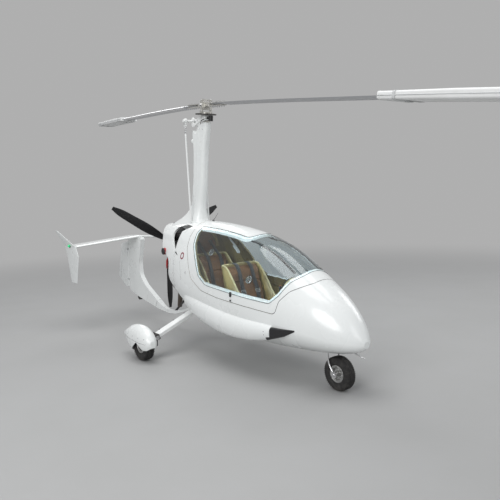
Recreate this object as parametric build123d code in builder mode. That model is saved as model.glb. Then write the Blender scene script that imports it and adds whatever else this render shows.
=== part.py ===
from build123d import *
import os
from math import cos, pi, radians, sin

os.makedirs("parts", exist_ok=True)

# Enclosed tandem two-seat gyrocopter. Millimetres, +X nose, +Y port, +Z up.
# The origin is on the ground, below the rotor hub.

# Wheels and stance
MAIN_X, MAIN_Y = -133.0, 846.0
MAIN_R, MAIN_W = 168.0, 105.0
NOSE_X, NOSE_R, NOSE_W = 1896.0, 150.0, 98.0
STEER_X, STEER_Z, STEER_RAKE = 1828.0, 340.0, 15.0
AXLE_R = 12.5
WELL_R = 108.0
FIT = 0.05

# Rotor
HUB_X, HUB_Z = -20.0, 2700.0
ROTOR_TILT = 6.35
ROTOR_R = 4200.0
BLADE_CHORD = 200.0
BLADE_YAW = -7.7
SLEEVE_FROM = 2900.0

# Propeller
PROP_X, PROP_Z, PROP_R = -1009.0, 1168.0, 850.0
PROP_ANGLE = 58.65

# Tail
STAB_Z, STAB_HALF, STAB_DROP = 1192.0, 890.0, 73.0

# Shell walls
SKIN, FRAME_T, GLASS_T = 22.0, 26.0, 6.0
SEAM = 5.0
REBATE = 24.0

# Fuselage stations: x, bottom z, widest z, top z, half width
STATIONS = [
    (2204, 428, 455, 484, 32),
    (2150, 390, 462, 585, 108),
    (2040, 356, 478, 728, 188),
    (1860, 330, 505, 876, 272),
    (1600, 306, 550, 1038, 342),
    (1250, 285, 600, 1228, 396),
    (800, 285, 650, 1352, 422),
    (300, 305, 705, 1418, 415),
    (-150, 385, 790, 1440, 375),
    (-480, 545, 900, 1432, 322),
    (-930, 780, 1010, 1392, 235),
]


def egg(zb, zm, zt, w, inset=0.0):
    """Egg-shaped ring of four quarter ellipses, drawn in the open BuildLine."""
    a, b, c = w - inset, zt - zm - inset, zm - zb - inset
    EllipticalCenterArc((0, zm), a, b, 0, arc_size=90)
    EllipticalCenterArc((0, zm), a, b, 90, arc_size=90)
    EllipticalCenterArc((0, zm), a, c, 180, arc_size=90)
    EllipticalCenterArc((0, zm), a, c, 270, arc_size=90)


def across(x, y=0.0, z=0.0):
    """Plane standing across the X axis, its own x along Y and its own y up."""
    return Plane(origin=(x, y, z), x_dir=(0, 1, 0), z_dir=(1, 0, 0))


def hull(inset=0.0, rows=STATIONS):
    """Solid of the closed fuselage, drawn in by inset all round."""
    with BuildPart() as body:
        for x, zb, zm, zt, w in rows:
            with BuildSketch(across(x)):
                with BuildLine():
                    egg(zb, zm, zt, w, inset)
                make_face()
        loft()
    return body.part


def side_prism(points, radii, half=700.0, grow=0.0):
    """Closed side-view outline with rounded corners, drawn through the body across Y."""
    with BuildPart() as prism:
        with BuildSketch(Plane.XZ):
            with BuildLine():
                FilletPolyline(*points, radius=radii, close=True)
            make_face()
            if grow:
                offset(amount=grow, kind=Kind.INTERSECTION, mode=Mode.REPLACE)
        extrude(amount=half, both=True)
    return prism.part


INNER_ROWS = [(x - 26 * (x > 2100), zb, zm, zt, w) for x, zb, zm, zt, w in STATIONS]
outer = hull()
inner_tub = hull(SKIN, INNER_ROWS[1:])
inner_frame = hull(FRAME_T, INNER_ROWS[1:])
inner_glass = hull(GLASS_T, STATIONS[1:])

# Canopy opening seen from the side, and the window inside it
CANOPY = [(1735, 935), (1585, 862), (1500, 770), (1470, 655), (1170, 680), (650, 712),
          (370, 748), (150, 850), (40, 1040), (-35, 1170), (-60, 1280), (-60, 1560), (1900, 1560)]
CANOPY_R = [40, 90, 60, 45, 300, 300, 200, 160, 200, 100, 60, 20, 20]
WINDOW = [(1625, 990), (1560, 935), (1490, 820), (1400, 742), (870, 780), (450, 812),
          (300, 890), (185, 1060), (80, 1195), (40, 1310), (150, 1700), (1800, 1700)]
WINDOW_R = [30, 60, 60, 60, 300, 200, 110, 160, 160, 40, 20, 20]

canopy_cut = side_prism(CANOPY, CANOPY_R, grow=-SEAM / 2)
tub_cut = side_prism(CANOPY, CANOPY_R, grow=SEAM / 2)
window_cut = side_prism(WINDOW, WINDOW_R)
window_light = side_prism(WINDOW, WINDOW_R, grow=-REBATE)

# White roof strip kept between the side windows, rounded at its front end, wider below the glass
strips = []
for lip in (0, REBATE):
    with BuildPart() as roof_strip:
        with BuildSketch(Plane.XY.offset(1100)):
            with Locations((330, 0)):
                Rectangle(1000, 300 + 2 * lip)
            with Locations((830, 0)):
                Ellipse(110 + lip, 150 + lip)
        extrude(amount=500)
    strips.append(roof_strip.part)

with BuildPart() as main_bow:
    with BuildSketch(Plane.YZ.offset(MAIN_X)):
        with BuildLine():
            FilletPolyline(
                (-735, 232), (-210, 447), (210, 447), (735, 232),
                (735, 196), (205, 411), (-205, 411), (-735, 196),
                radius=[4, 90, 90, 4, 4, 55, 55, 4], close=True,
            )
        make_face()
    extrude(amount=52, both=True)
main_bow.part.label = "main_gear_bow"
export_step(main_bow.part, "parts/main_gear_bow.step")

# Side pods swell out of the lower body below the crease
POD_ROWS = [(1440, 488, 62, 46, 360), (1150, 470, 96, 62, 388), (700, 480, 118, 66, 392),
            (280, 540, 108, 52, 382), (-40, 600, 60, 20, 360)]
pods = []
for side in (-1, 1):
    with BuildPart() as swell:
        for x, z, high, wide, y in POD_ROWS:
            with BuildSketch(across(x, side * y, z)):
                Ellipse(wide, high)
        loft()
    pods.append(swell.part)

# Swept tube and fin in one moulding, seen from the side, its tube under the engine slim
BOOM = [(-222, 492), (-548, 376), (-768, 313), (-945, 282), (-1093, 277), (-1226, 308), (-1394, 391),
        (-1674, 532), (-1815, 660), (-1826, 834), (-1728, 1180), (-2154, 1180), (-2160, 1111), (-2210, 467),
        (-2180, 410), (-1887, 345), (-1303, 256), (-1063, 235), (-900, 247), (-580, 338), (-222, 450)]
BOOM_R = [8, 500, 500, 400, 300, 300, 500, 300, 120, 160, 30, 8, 8, 20, 60, 300, 400, 300, 400, 500, 8]
with BuildPart() as boom:
    with BuildSketch(Plane.XZ):
        with BuildLine():
            FilletPolyline(*BOOM, radius=BOOM_R, close=True)
        make_face()
    extrude(amount=34, both=True)
with BuildPart() as boom_plan:
    with BuildSketch(Plane.XY.offset(100)):
        with BuildLine():
            Polyline((-200, 22), (-1150, 22), (-1300, 34), (-2000, 26), (-2230, 14), (-2230, -14),
                     (-2000, -26), (-1300, -34), (-1150, -22), (-200, -22), close=True)
        make_face()
    extrude(amount=1200)
with BuildPart() as tail_boom:
    add(boom.part)
    add(boom_plan.part, mode=Mode.INTERSECT)
tail_boom.part.label = "tail_boom"
export_step(tail_boom.part, "parts/tail_boom.step")

# Rear cowling: crescent air inlets each side, raked open end round the engine
INLET = [(-140, 1382), (-300, 1396), (-462, 1362), (-500, 1305), (-470, 1245), (-400, 1180),
         (-345, 1125), (-262, 1078), (-200, 1056), (-300, 1124), (-350, 1190), (-345, 1265),
         (-300, 1322), (-225, 1352)]
INLET_R = [3, 100, 60, 60, 100, 100, 100, 100, 3, 60, 60, 50, 60, 60]
REAR = [(-930, 1500), (-905, 1400), (-835, 1325), (-745, 1240), (-680, 1130), (-550, 1060),
        (-450, 1000), (-445, 920), (-480, 820), (-505, 700), (-520, 560), (-520, 400), (-1100, 400), (-1100, 1500)]
REAR_R = [4, 90, 150, 150, 80, 120, 60, 120, 200, 200, 100, 4, 4, 4]
inlet = side_prism(INLET, INLET_R)
rear_cut = side_prism(REAR, REAR_R)
with BuildPart() as rear_shell:
    add(outer)
    add(inner_tub, mode=Mode.SUBTRACT)
    split(bisect_by=Plane.YZ.offset(-300), keep=Keep.BOTTOM)
    add(inlet, mode=Mode.SUBTRACT)
    add(rear_cut, mode=Mode.SUBTRACT)
    add(tail_boom.part, mode=Mode.SUBTRACT)
with BuildPart() as engine_cowl:
    add(rear_shell.part.solids().sort_by(SortBy.VOLUME)[-1])
engine_cowl.part.label = "engine_cowl"
export_step(engine_cowl.part, "parts/engine_cowl.step")

# Fuselage shell, open round the nose leg's stem and where the gear bow passes through
with BuildPart() as shell:
    add(outer)
    add(pods[0])
    add(pods[1])
    add(inner_tub, mode=Mode.SUBTRACT)
    add(tub_cut, mode=Mode.SUBTRACT)
    split(bisect_by=Plane.YZ.offset(-300), keep=Keep.TOP)
    add(main_bow.part, mode=Mode.SUBTRACT)
    add(inlet, mode=Mode.SUBTRACT)
    add(tail_boom.part, mode=Mode.SUBTRACT)
    with Locations((STEER_X, 0, 330)):
        Cylinder(WELL_R, 160, mode=Mode.SUBTRACT)
shell.part.label = "fuselage_shell"
export_step(shell.part, "parts/fuselage_shell.step")

# Canopy: the one-piece glass, and the painted frame that it sits in
with BuildPart() as window:
    add(window_cut)
    add(strips[0], mode=Mode.SUBTRACT)
with BuildPart() as light_opening:
    add(window_light)
    add(strips[1], mode=Mode.SUBTRACT)
with BuildPart() as canopy_glass:
    add(outer)
    add(inner_glass, mode=Mode.SUBTRACT)
    add(window.part, mode=Mode.INTERSECT)
canopy_glass.part.label = "canopy_glass"
export_step(canopy_glass.part, "parts/canopy_glass.step")
with BuildPart() as canopy_frame:
    add(outer)
    add(inner_frame, mode=Mode.SUBTRACT)
    add(canopy_cut, mode=Mode.INTERSECT)
    add(light_opening.part, mode=Mode.SUBTRACT)
    add(canopy_glass.part, mode=Mode.SUBTRACT)
canopy_frame.part.label = "canopy_frame"
export_step(canopy_frame.part, "parts/canopy_frame.step")

# Cabin rear wall, seated on the shell's inner face
with BuildPart() as bulkhead:
    add(inner_tub)
    split(bisect_by=Plane.YZ.offset(-215), keep=Keep.TOP)
    split(bisect_by=Plane.YZ.offset(-195), keep=Keep.BOTTOM)
    add(tail_boom.part, mode=Mode.SUBTRACT)
bulkhead.part.label = "cabin_bulkhead"
export_step(bulkhead.part, "parts/cabin_bulkhead.step")

# Mast fairing: height, rear x, front x, width. Its top slopes and is scalloped behind the head
MAST_ROWS = [(1340, -830, -142, 300), (1400, -712, -146, 240), (1453, -584, -153, 192), (1494, -497, -156, 160),
             (1536, -434, -156, 136), (1613, -362, -150, 112), (1700, -342, -128, 102), (1783, -328, -107, 98),
             (1918, -303, -84, 96), (2062, -288, -65, 94), (2228, -276, -40, 92), (2337, -281, -12, 90),
             (2440, -283, 12, 86), (2545, -285, 38, 80)]
MAST_TOP = [(80, 2620), (80, 2504), (16, 2508), (-32, 2519), (-120, 2490), (-157, 2464), (-182, 2418),
            (-218, 2412), (-244, 2450), (-276, 2456), (-306, 2424), (-340, 2330), (-420, 2330), (-420, 2620)]
MAST_TOP_R = [4, 4, 12, 40, 20, 20, 14, 14, 16, 16, 30, 4, 4, 4]
with BuildPart() as mast:
    for z, rear, front, wide in MAST_ROWS:
        with BuildSketch(Plane.XY.offset(z)):
            with Locations(((rear + front) / 2, 0)):
                RectangleRounded(front - rear, wide, 0.42 * min(wide, front - rear))
    loft()
    add(outer, mode=Mode.SUBTRACT)
    add(side_prism(MAST_TOP, MAST_TOP_R, half=200), mode=Mode.SUBTRACT)
    with Locations((-290, -14, 2336)):
        Sphere(27)
mast.part.label = "mast"
export_step(mast.part, "parts/mast.step")

# Black tips of the side pods, sharp at the front
CAP_ROWS = [(1400, 478, 60, 52, 356), (1560, 505, 36, 34, 340), (1690, 538, 7, 8, 318)]
for side, name in ((-1, "right"), (1, "left")):
    with BuildPart() as pod_cap:
        for x, z, high, wide, y in CAP_ROWS:
            with BuildSketch(across(x, side * y, z)):
                RectangleRounded(2 * wide, 2 * high, 0.6 * min(wide, high))
        loft(ruled=True)
        add(outer, mode=Mode.SUBTRACT)
        add(pods[(side + 1) // 2], mode=Mode.SUBTRACT)
    with BuildPart() as pod_tip:
        add(pod_cap.part.solids().sort_by(SortBy.VOLUME)[-1])
    pod_tip.part.label = "pod_cap_" + name
    export_step(pod_tip.part, "parts/pod_cap_" + name + ".step")

# Tailplane with its end plates
STAB_ROWS = [(-STAB_HALF, -1822, 375, 26, STAB_Z - STAB_DROP), (0, -1815, 392, 34, STAB_Z),
             (STAB_HALF, -1822, 375, 26, STAB_Z - STAB_DROP)]
with BuildPart() as stabiliser:
    for y, lead, chord, thick, z in STAB_ROWS:
        with BuildSketch(Plane(origin=(lead, y, z), x_dir=(-1, 0, 0), z_dir=(0, 1, 0))):
            with BuildLine():
                nose = EllipticalCenterArc((0.12 * chord, 0), 0.12 * chord, thick / 2, 90, arc_size=180)
                ThreePointArc(nose @ 1, (0.45 * chord, -0.46 * thick), (chord, -1.5))
                Line((chord, -1.5), (chord, 1.5))
                ThreePointArc((chord, 1.5), (0.45 * chord, 0.46 * thick), nose @ 0)
            make_face()
    loft(ruled=True)
    add(tail_boom.part, mode=Mode.SUBTRACT)
stabiliser.part.label = "stabiliser"
export_step(stabiliser.part, "parts/stabiliser.step")

PLATE_ROWS = [(645, -1862, -2062, 888, 9), (1000, -1728, -2160, 893, 12), (1118, -1800, -2208, 896, 12),
              (1322, -2238, -2325, 975, 6)]
for side, name in ((-1, "right"), (1, "left")):
    with BuildPart() as end_plate:
        for z, front, rear, y, wide in PLATE_ROWS:
            with BuildSketch(Plane.XY.offset(z)):
                with Locations(((front + rear) / 2, side * (y + 12))):
                    Ellipse((front - rear) / 2, wide)
        loft(ruled=True)
        add(stabiliser.part, mode=Mode.SUBTRACT)
    end_plate.part.label = "end_plate_" + name
    export_step(end_plate.part, "parts/end_plate_" + name + ".step")

# Rudder on a raked hinge line behind the fin
HINGE_LOW, HINGE_TOP = Vector(-2236, 0, 467), Vector(-2184, 0, 1111)
HINGE_DIR = (HINGE_TOP - HINGE_LOW).normalized()
RUDDER = [(-2160, 1113), (-2417, 1071), (-2584, 583), (-2313, 443), (-2206, 462)]
HINGE_STEPS = (90.0, 530.0)
with BuildPart() as rudder_plan:
    with BuildSketch(Plane(origin=HINGE_LOW - HINGE_DIR * 60, z_dir=HINGE_DIR, x_dir=(-1, 0, 0))):
        with BuildLine():
            lead = CenterArc((0, 0), 17, 95, 170)
            Line(lead @ 1, (370, -3))
            Line((370, -3), (370, 3))
            Line((370, 3), lead @ 0)
        make_face()
    extrude(amount=900)
with BuildPart() as rudder:
    with BuildSketch(Plane.XZ):
        with BuildLine():
            FilletPolyline(*RUDDER, radius=[10, 60, 30, 60, 10], close=True)
        make_face()
    extrude(amount=40, both=True)
    add(rudder_plan.part, mode=Mode.INTERSECT)
    for step in HINGE_STEPS:
        with Locations(Plane(origin=HINGE_LOW + HINGE_DIR * step, z_dir=HINGE_DIR, x_dir=(-1, 0, 0))):
            Box(60, 60, 26, mode=Mode.SUBTRACT)
            Cylinder(4 + FIT, 70, mode=Mode.SUBTRACT)
rudder.part.label = "rudder"
export_step(rudder.part, "parts/rudder.step")
with BuildPart() as rudder_hinges:
    for step in HINGE_STEPS:
        with Locations(Plane(origin=HINGE_LOW + HINGE_DIR * step, z_dir=HINGE_DIR, x_dir=(-1, 0, 0))):
            Cylinder(4, 62)
            Cylinder(11, 12)
            with Locations((-22, 0, 0)):
                Box(44, 18, 12)
with BuildPart() as rudder_hinges_kept:
    add(rudder_hinges.part)
    add(tail_boom.part, mode=Mode.SUBTRACT)
rudder_hinges_kept.part.label = "rudder_hinges"
export_step(rudder_hinges_kept.part, "parts/rudder_hinges.step")

# Rubber tail skid under the fin
with BuildPart() as tail_bumper:
    with BuildSketch(Plane.XZ):
        with Locations((-1905, 342)):
            Circle(44)
    extrude(amount=16, both=True)
    add(tail_boom.part, mode=Mode.SUBTRACT)
tail_bumper.part.label = "tail_bumper"
export_step(tail_bumper.part, "parts/tail_bumper.step")

# Main wheels, axle clamps and spats
for side, name in ((-1, "right"), (1, "left")):
    hub = Plane(origin=(MAIN_X, side * MAIN_Y, MAIN_R), z_dir=(0, side, 0), x_dir=(1, 0, 0))
    with BuildPart() as tyre:
        with BuildSketch(Plane.XZ):
            with BuildLine():
                FilletPolyline((78, -34), (96, -MAIN_W / 2), (148, -MAIN_W / 2), (MAIN_R, -30),
                               (MAIN_R, 30), (148, MAIN_W / 2), (96, MAIN_W / 2), (78, 34),
                               radius=[2, 16, 18, 22, 22, 18, 16, 2], close=True)
            make_face()
        revolve(axis=Axis.Z)
    tyre_placed = hub * tyre.part
    tyre_placed.label = "main_tyre_" + name
    export_step(tyre_placed, "parts/main_tyre_" + name + ".step")
    with BuildPart() as rim:
        with BuildSketch(Plane.XZ):
            with BuildLine():
                Polyline((AXLE_R + FIT, -32), (30, -32), (30, -10), (66, -10), (66, -34), (77.8, -34),
                         (77.8, 34), (66, 34), (66, 10), (30, 10), (30, 32), (AXLE_R + FIT, 32), close=True)
            make_face()
        revolve(axis=Axis.Z)
        with PolarLocations(48, 6):
            Hole(9)
    rim_placed = hub * rim.part
    rim_placed.label = "main_rim_" + name
    export_step(rim_placed, "parts/main_rim_" + name + ".step")
    with BuildPart() as axle:
        with Locations((0, 0, -8)):
            Cylinder(AXLE_R, 100)
        with Locations((0, 0, 39)):
            Cylinder(20, 10)
        with Locations((0, 0, -50)):
            Cylinder(24, 24)
        with BuildSketch(Plane.XY.offset(-62)):
            with Locations((0, 14)):
                RectangleRounded(112, 104, 16)
        extrude(amount=-78)
    with BuildPart() as axle_clamp:
        add(hub * axle.part)
        add(main_bow.part, mode=Mode.SUBTRACT)
    with BuildPart() as axle_kept:
        add(axle_clamp.part.solids().sort_by(SortBy.VOLUME)[-1])
    axle_kept.part.label = "axle_" + name
    export_step(axle_kept.part, "parts/axle_" + name + ".step")

# Wheel spats: tapered fairings with a raised tail, cut away below to show the outer side of the tyre
SPAT_ROWS = [(-572, 228, 14, 12), (-470, 226, 62, 48), (-330, 215, 136, 80), (-180, 212, 165, 92),
             (-50, 212, 156, 90), (45, 206, 108, 72), (98, 204, 40, 36)]
SPAT_CUT = [(-700, 300), (-566, 222), (-337, 60), (-290, 96), (-110, 212), (2, 136), (60, 146), (130, 190),
            (130, -20), (-700, -20)]
spat_cut = side_prism(SPAT_CUT, [4, 10, 14, 30, 30, 30, 40, 4, 4, 4], half=1100)
for side, name in ((-1, "right"), (1, "left")):
    wheel_side = Plane(origin=(MAIN_X, side * (MAIN_Y - 64), MAIN_R), z_dir=(0, side, 0), x_dir=(1, 0, 0))
    with BuildPart() as spat:
        for x, z, high, wide in SPAT_ROWS:
            with BuildSketch(across(x, side * (MAIN_Y + 6), z)):
                Ellipse(wide, high)
        loft()
        add(spat_cut, mode=Mode.SUBTRACT)
        with BuildSketch(wheel_side):
            Circle(MAIN_R + 12)
        extrude(amount=128, mode=Mode.SUBTRACT)
        with BuildSketch(wheel_side):
            Rectangle(130, 160)
        extrude(amount=-80, mode=Mode.SUBTRACT)
    with BuildPart() as spat_kept:
        add(spat.part.solids().sort_by(SortBy.VOLUME)[-1])
    spat_kept.part.label = "spat_" + name
    export_step(spat_kept.part, "parts/spat_" + name + ".step")

# Nose gear: fork of two bent tubes on a raked stem, bearing tube in the nose
RAKE = radians(STEER_RAKE)
stem = Plane(origin=(STEER_X, 0, STEER_Z), z_dir=(-sin(RAKE), 0, cos(RAKE)), x_dir=(cos(RAKE), 0, sin(RAKE)))
LEG_Y, LEG_R = 68.0, 8.0
LEG = [(STEER_X, STEER_Z + 6), (STEER_X - 4, 288), (STEER_X + 12, 228), (NOSE_X - 8, NOSE_R + 8)]
with BuildPart() as nose_fork:
    with Locations(stem):
        with Locations((0, 0, 92)):
            Cylinder(16, 190)
        with Locations((0, 0, 8)):
            Box(60, 156, 14)
    for side in (-1, 1):
        with BuildLine(Plane.XZ.offset(-side * LEG_Y)):
            leg_path = FilletPolyline(*LEG, radius=120)
        with BuildSketch(Plane(origin=leg_path @ 0, z_dir=leg_path % 0)):
            Circle(LEG_R)
        sweep(path=leg_path)
        with BuildSketch(Plane(origin=(NOSE_X, side * 64, NOSE_R), z_dir=(0, side, 0), x_dir=(1, 0, 0))):
            SlotOverall(62, 38, rotation=45 * side)
        extrude(amount=12)
        with Locations((NOSE_X, side * 57, NOSE_R)):
            Cylinder(17, 16, rotation=(90, 0, 0))
    with Locations((NOSE_X, 0, NOSE_R)):
        Cylinder(AXLE_R, 185, rotation=(90, 0, 0))
nose_fork.part.label = "nose_fork"
export_step(nose_fork.part, "parts/nose_fork.step")
with BuildPart() as nose_bearing:
    with Locations(stem):
        with Locations((0, 0, 92)):
            Cylinder(30, 130)
        with Locations((0, 0, 120)):
            Box(110, 700, 12)
        with Locations((0, 0, 92)):
            Cylinder(16 + FIT, 200, mode=Mode.SUBTRACT)
with BuildPart() as nose_frame:
    add(nose_bearing.part)
    add(inner_tub, mode=Mode.INTERSECT)
nose_frame.part.label = "nose_bearing"
export_step(nose_frame.part, "parts/nose_bearing.step")
nose_hub = Plane(origin=(NOSE_X, 0, NOSE_R), z_dir=(0, 1, 0), x_dir=(1, 0, 0))
with BuildPart() as nose_tyre:
    with BuildSketch(Plane.XZ):
        with BuildLine():
            FilletPolyline((68, -30), (84, -NOSE_W / 2), (130, -NOSE_W / 2), (NOSE_R, -27), (NOSE_R, 27),
                           (130, NOSE_W / 2), (84, NOSE_W / 2), (68, 30),
                           radius=[2, 15, 17, 20, 20, 17, 15, 2], close=True)
        make_face()
    revolve(axis=Axis.Z)
placed = nose_hub * nose_tyre.part
placed.label = "nose_tyre"
export_step(placed, "parts/nose_tyre.step")
with BuildPart() as nose_rim:
    with BuildSketch(Plane.XZ):
        with BuildLine():
            Polyline((AXLE_R + FIT, -46), (26, -46), (26, -9), (58, -9), (58, -30), (67.8, -30), (67.8, 30),
                     (58, 30), (58, 9), (26, 9), (26, 46), (AXLE_R + FIT, 46), close=True)
        make_face()
    revolve(axis=Axis.Z)
    with PolarLocations(42, 6):
        Hole(8)
placed = nose_hub * nose_rim.part
placed.label = "nose_rim"
export_step(placed, "parts/nose_rim.step")

# Engine as one block, silencer below it
with BuildPart() as engine:
    with Locations((-430, 0, 1030)):
        Box(230, 470, 330)
    with Locations((-590, 0, 1060)):
        Box(120, 300, 280)
    with Locations((-740, 0, PROP_Z - 20)):
        Box(230, 190, 190)
    with Locations((-895, 0, PROP_Z)):
        Cylinder(52, 80, rotation=(0, 90, 0))
    with Locations((-890, 0, PROP_Z)):
        Cylinder(24 + FIT, 92, rotation=(0, 90, 0), mode=Mode.SUBTRACT)
engine.part.label = "engine"
export_step(engine.part, "parts/engine.step")
with BuildPart() as silencer:
    with Locations((-585, 0, 705)):
        Cylinder(68, 360, rotation=(90, 0, 0))
    with BuildLine(Plane.XZ.offset(110)):
        outlet = FilletPolyline((-585, 705), (-585, 560), (-612, 398), radius=120)
    with BuildSketch(Plane(origin=outlet @ 0, z_dir=outlet % 0)):
        Circle(28)
    sweep(path=outlet)
    with BuildSketch(Plane(origin=outlet @ 1, z_dir=-(outlet % 1))):
        Circle(24)
    extrude(amount=60, mode=Mode.SUBTRACT)
silencer.part.label = "exhaust_silencer"
export_step(silencer.part, "parts/exhaust_silencer.step")

# Strut from the tail tube up to the belly's rear lip, with a foot at each end
STRUT = ((-930, 0, 272), (-497, 0, 578))
with BuildPart() as boom_strut:
    with BuildSketch(Plane(origin=STRUT[0], z_dir=Vector(*STRUT[1]) - Vector(*STRUT[0]))):
        Circle(14)
    extrude(amount=(Vector(*STRUT[1]) - Vector(*STRUT[0])).length)
    with Locations((-495, 0, 574)):
        Box(60, 70, 20)
with BuildPart() as strut_kept:
    add(boom_strut.part)
    add(tail_boom.part, mode=Mode.SUBTRACT)
    add(engine_cowl.part, mode=Mode.SUBTRACT)
with BuildPart() as strut_main:
    add(strut_kept.part.solids().sort_by(SortBy.VOLUME)[-1])
strut_main.part.label = "boom_strut"
export_step(strut_main.part, "parts/boom_strut.step")

# Propeller
with BuildPart() as prop_hub:
    with Locations((PROP_X, 0, PROP_Z)):
        Cylinder(78, 60, rotation=(0, 90, 0))
    with Locations((-925, 0, PROP_Z)):
        Cylinder(24, 150, rotation=(0, 90, 0))
    with Locations((-952, 0, PROP_Z)):
        Cylinder(62, 14, rotation=(0, 90, 0))
PROP_ROWS = [(60, 58, 42, 42), (200, 98, 26, 34), (480, 110, 17, 24), (740, 84, 11, 17), (PROP_R, 42, 6, 14)]
with BuildPart() as prop_blade:
    for r, chord, thick, pitch in PROP_ROWS:
        with BuildSketch(Plane(origin=(0, 0, r), x_dir=(sin(radians(pitch)), cos(radians(pitch)), 0), z_dir=(0, 0, 1))):
            Ellipse(chord / 2, thick / 2)
    loft()
blades = [Plane(origin=(PROP_X, 0, PROP_Z)) * Rot(X=PROP_ANGLE + 120 * k) * prop_blade.part for k in range(3)]
with BuildPart() as prop_blades:
    add(blades)
with BuildPart() as prop_core:
    add(prop_hub.part)
    add(prop_blades.part, mode=Mode.SUBTRACT)
prop_core.part.label = "prop_hub"
export_step(prop_core.part, "parts/prop_hub.step")
prop_blades.part.label = "prop_blades"
export_step(prop_blades.part, "parts/prop_blades.step")

# Rotor head, on the axis tilted forward
TILT = radians(ROTOR_TILT)
EX, EY, EZ = Vector(cos(TILT), 0, -sin(TILT)), Vector(0, 1, 0), Vector(sin(TILT), 0, cos(TILT))
HUB = Vector(HUB_X, 0, HUB_Z)
head = Plane(origin=HUB, x_dir=EX, z_dir=EZ)
YAW = radians(BLADE_YAW)
BX = EX * cos(YAW) + EY * sin(YAW)
rotor = Plane(origin=HUB, x_dir=BX, z_dir=EZ)

# Bearing block with two cast side arms that carry the control bar behind it
ARM = [(-212, -124), (-185, -142), (-130, -158), (-70, -122), (40, -118), (52, -150), (20, -174), (-60, -176),
       (-110, -194), (-172, -226), (-200, -236), (-224, -220), (-242, -186), (-242, -160)]
ARM_R = [8, 20, 30, 30, 12, 12, 20, 40, 40, 30, 14, 16, 12, 12]
BAR = (-242, -172)
with BuildPart() as bearing_block:
    with Locations((0, 0, -136)):
        Box(96, 68, 52)
        Cylinder(20 + FIT, 60, mode=Mode.SUBTRACT)
    for y in (-36, 36):
        with BuildSketch(Plane.XZ.offset(-y)):
            with BuildLine():
                FilletPolyline(*ARM, radius=ARM_R, close=True)
            make_face()
            with Locations((-166, -178)):
                Ellipse(26, 16, mode=Mode.SUBTRACT)
        extrude(amount=6, both=True)
    with Locations((BAR[0] + 8, 0, BAR[1])):
        Cylinder(15, 190, rotation=(90, 0, 0))
    for y in (-120, 120):
        with Locations((BAR[0] + 8, y, BAR[1] + 4)):
            Cylinder(24, 22, rotation=(90, 0, 0))
        with Locations((BAR[0] + 8, y, BAR[1] - 34)):
            Box(26, 22, 50)
        with Locations((BAR[0] + 8, y, BAR[1])):
            Cylinder(15, 60, rotation=(90, 0, 0))
placed = head * bearing_block.part
placed.label = "rotor_bearing"
export_step(placed, "parts/rotor_bearing.step")

# Gimbal: cross block under the bearing, its cheeks and foot let into the mast's top
with BuildPart() as gimbal:
    with Locations((0, 0, -178)):
        Box(58, 52, 18)
    with Locations((0, 0, -178)):
        Cylinder(9, 84, rotation=(90, 0, 0))
    for y in (-28, 28):
        with BuildSketch(Plane.XZ.offset(-y)):
            with BuildLine():
                FilletPolyline((-58, -260), (52, -260), (24, -164), (-24, -164), radius=[4, 4, 14, 14], close=True)
            make_face()
        extrude(amount=5, both=True)
with BuildPart() as gimbal_cut:
    add(head * gimbal.part)
    add(mast.part, mode=Mode.SUBTRACT)
    add(head * bearing_block.part, mode=Mode.SUBTRACT)
with BuildPart() as gimbal_placed:
    add(gimbal_cut.part.solids().sort_by(SortBy.VOLUME)[-1])
gimbal_placed.part.label = "rotor_gimbal"
export_step(gimbal_placed.part, "parts/rotor_gimbal.step")

# Teeter tower: shaft, toothed spin-up gear, two cheeks and the bridge over them
GEAR_R, GEAR_TEETH, TOOTH = 108.0, 48, 7.0
with BuildPart() as ring_gear:
    with BuildSketch(Plane.XY.offset(-104)):
        Circle(GEAR_R)
        with PolarLocations(GEAR_R, GEAR_TEETH):
            Rectangle(2 * TOOTH, 0.5 * 2 * pi * GEAR_R / GEAR_TEETH)
        Circle(46, mode=Mode.SUBTRACT)
        with PolarLocations(76, 6):
            Circle(15, mode=Mode.SUBTRACT)
    extrude(amount=12)
placed = rotor * ring_gear.part
placed.label = "spin_up_gear"
export_step(placed, "parts/spin_up_gear.step")
with BuildPart() as rotor_mast:
    with Locations((0, 0, -124)):
        Cylinder(20, 76)
    with Locations((0, 0, -98)):
        Cylinder(46, 12)
    with Locations((0, 0, -87)):
        Cylinder(58, 10)
    with Locations((0, 0, -78)):
        Box(70, 124, 12)
    for y in (-55, 55):
        with BuildSketch(Plane.XZ.offset(-y)):
            with BuildLine():
                FilletPolyline((-33, -76), (33, -76), (24, -48), (22, 40), (28, 60), (-28, 60), (-22, 40), (-24, -48),
                               radius=[1, 1, 12, 20, 6, 6, 20, 12], close=True)
            make_face()
        extrude(amount=7, both=True)
    with Locations((0, 0, 54)):
        Box(52, 100, 10)
    Cylinder(9 + FIT, 200, rotation=(90, 0, 0), mode=Mode.SUBTRACT)
placed = rotor * rotor_mast.part
placed.label = "rotor_tower"
export_step(placed, "parts/rotor_tower.step")

# Hub bar: teeter block, and a pair of long straps each side that clamp the blade's root
with BuildPart() as hub_bar:
    Box(120, 78, 46)
    Cylinder(15, 92, rotation=(90, 0, 0))
    Cylinder(9, 152, rotation=(90, 0, 0))
    Box(300, 60, 20)
    for x in (-270, 270):
        for z in (-14, 14):
            with Locations((x, 0, z)):
                Box(320, 64, 9)
placed = rotor * hub_bar.part
placed.label = "hub_bar"
export_step(placed, "parts/hub_bar.step")

# Drive for spinning the rotor up: upright gearbox ahead of the shaft, clear of the gear's teeth
with BuildPart() as spin_up_drive:
    with Locations((98, 0, -143)):
        Cylinder(25, 58)
    with Locations((98, 0, -113)):
        Cylinder(9, 8)
    with Locations((66, 0, -136)):
        Box(36, 30, 24)
placed = head * spin_up_drive.part
placed.label = "spin_up_drive"
export_step(placed, "parts/spin_up_drive.step")

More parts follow.
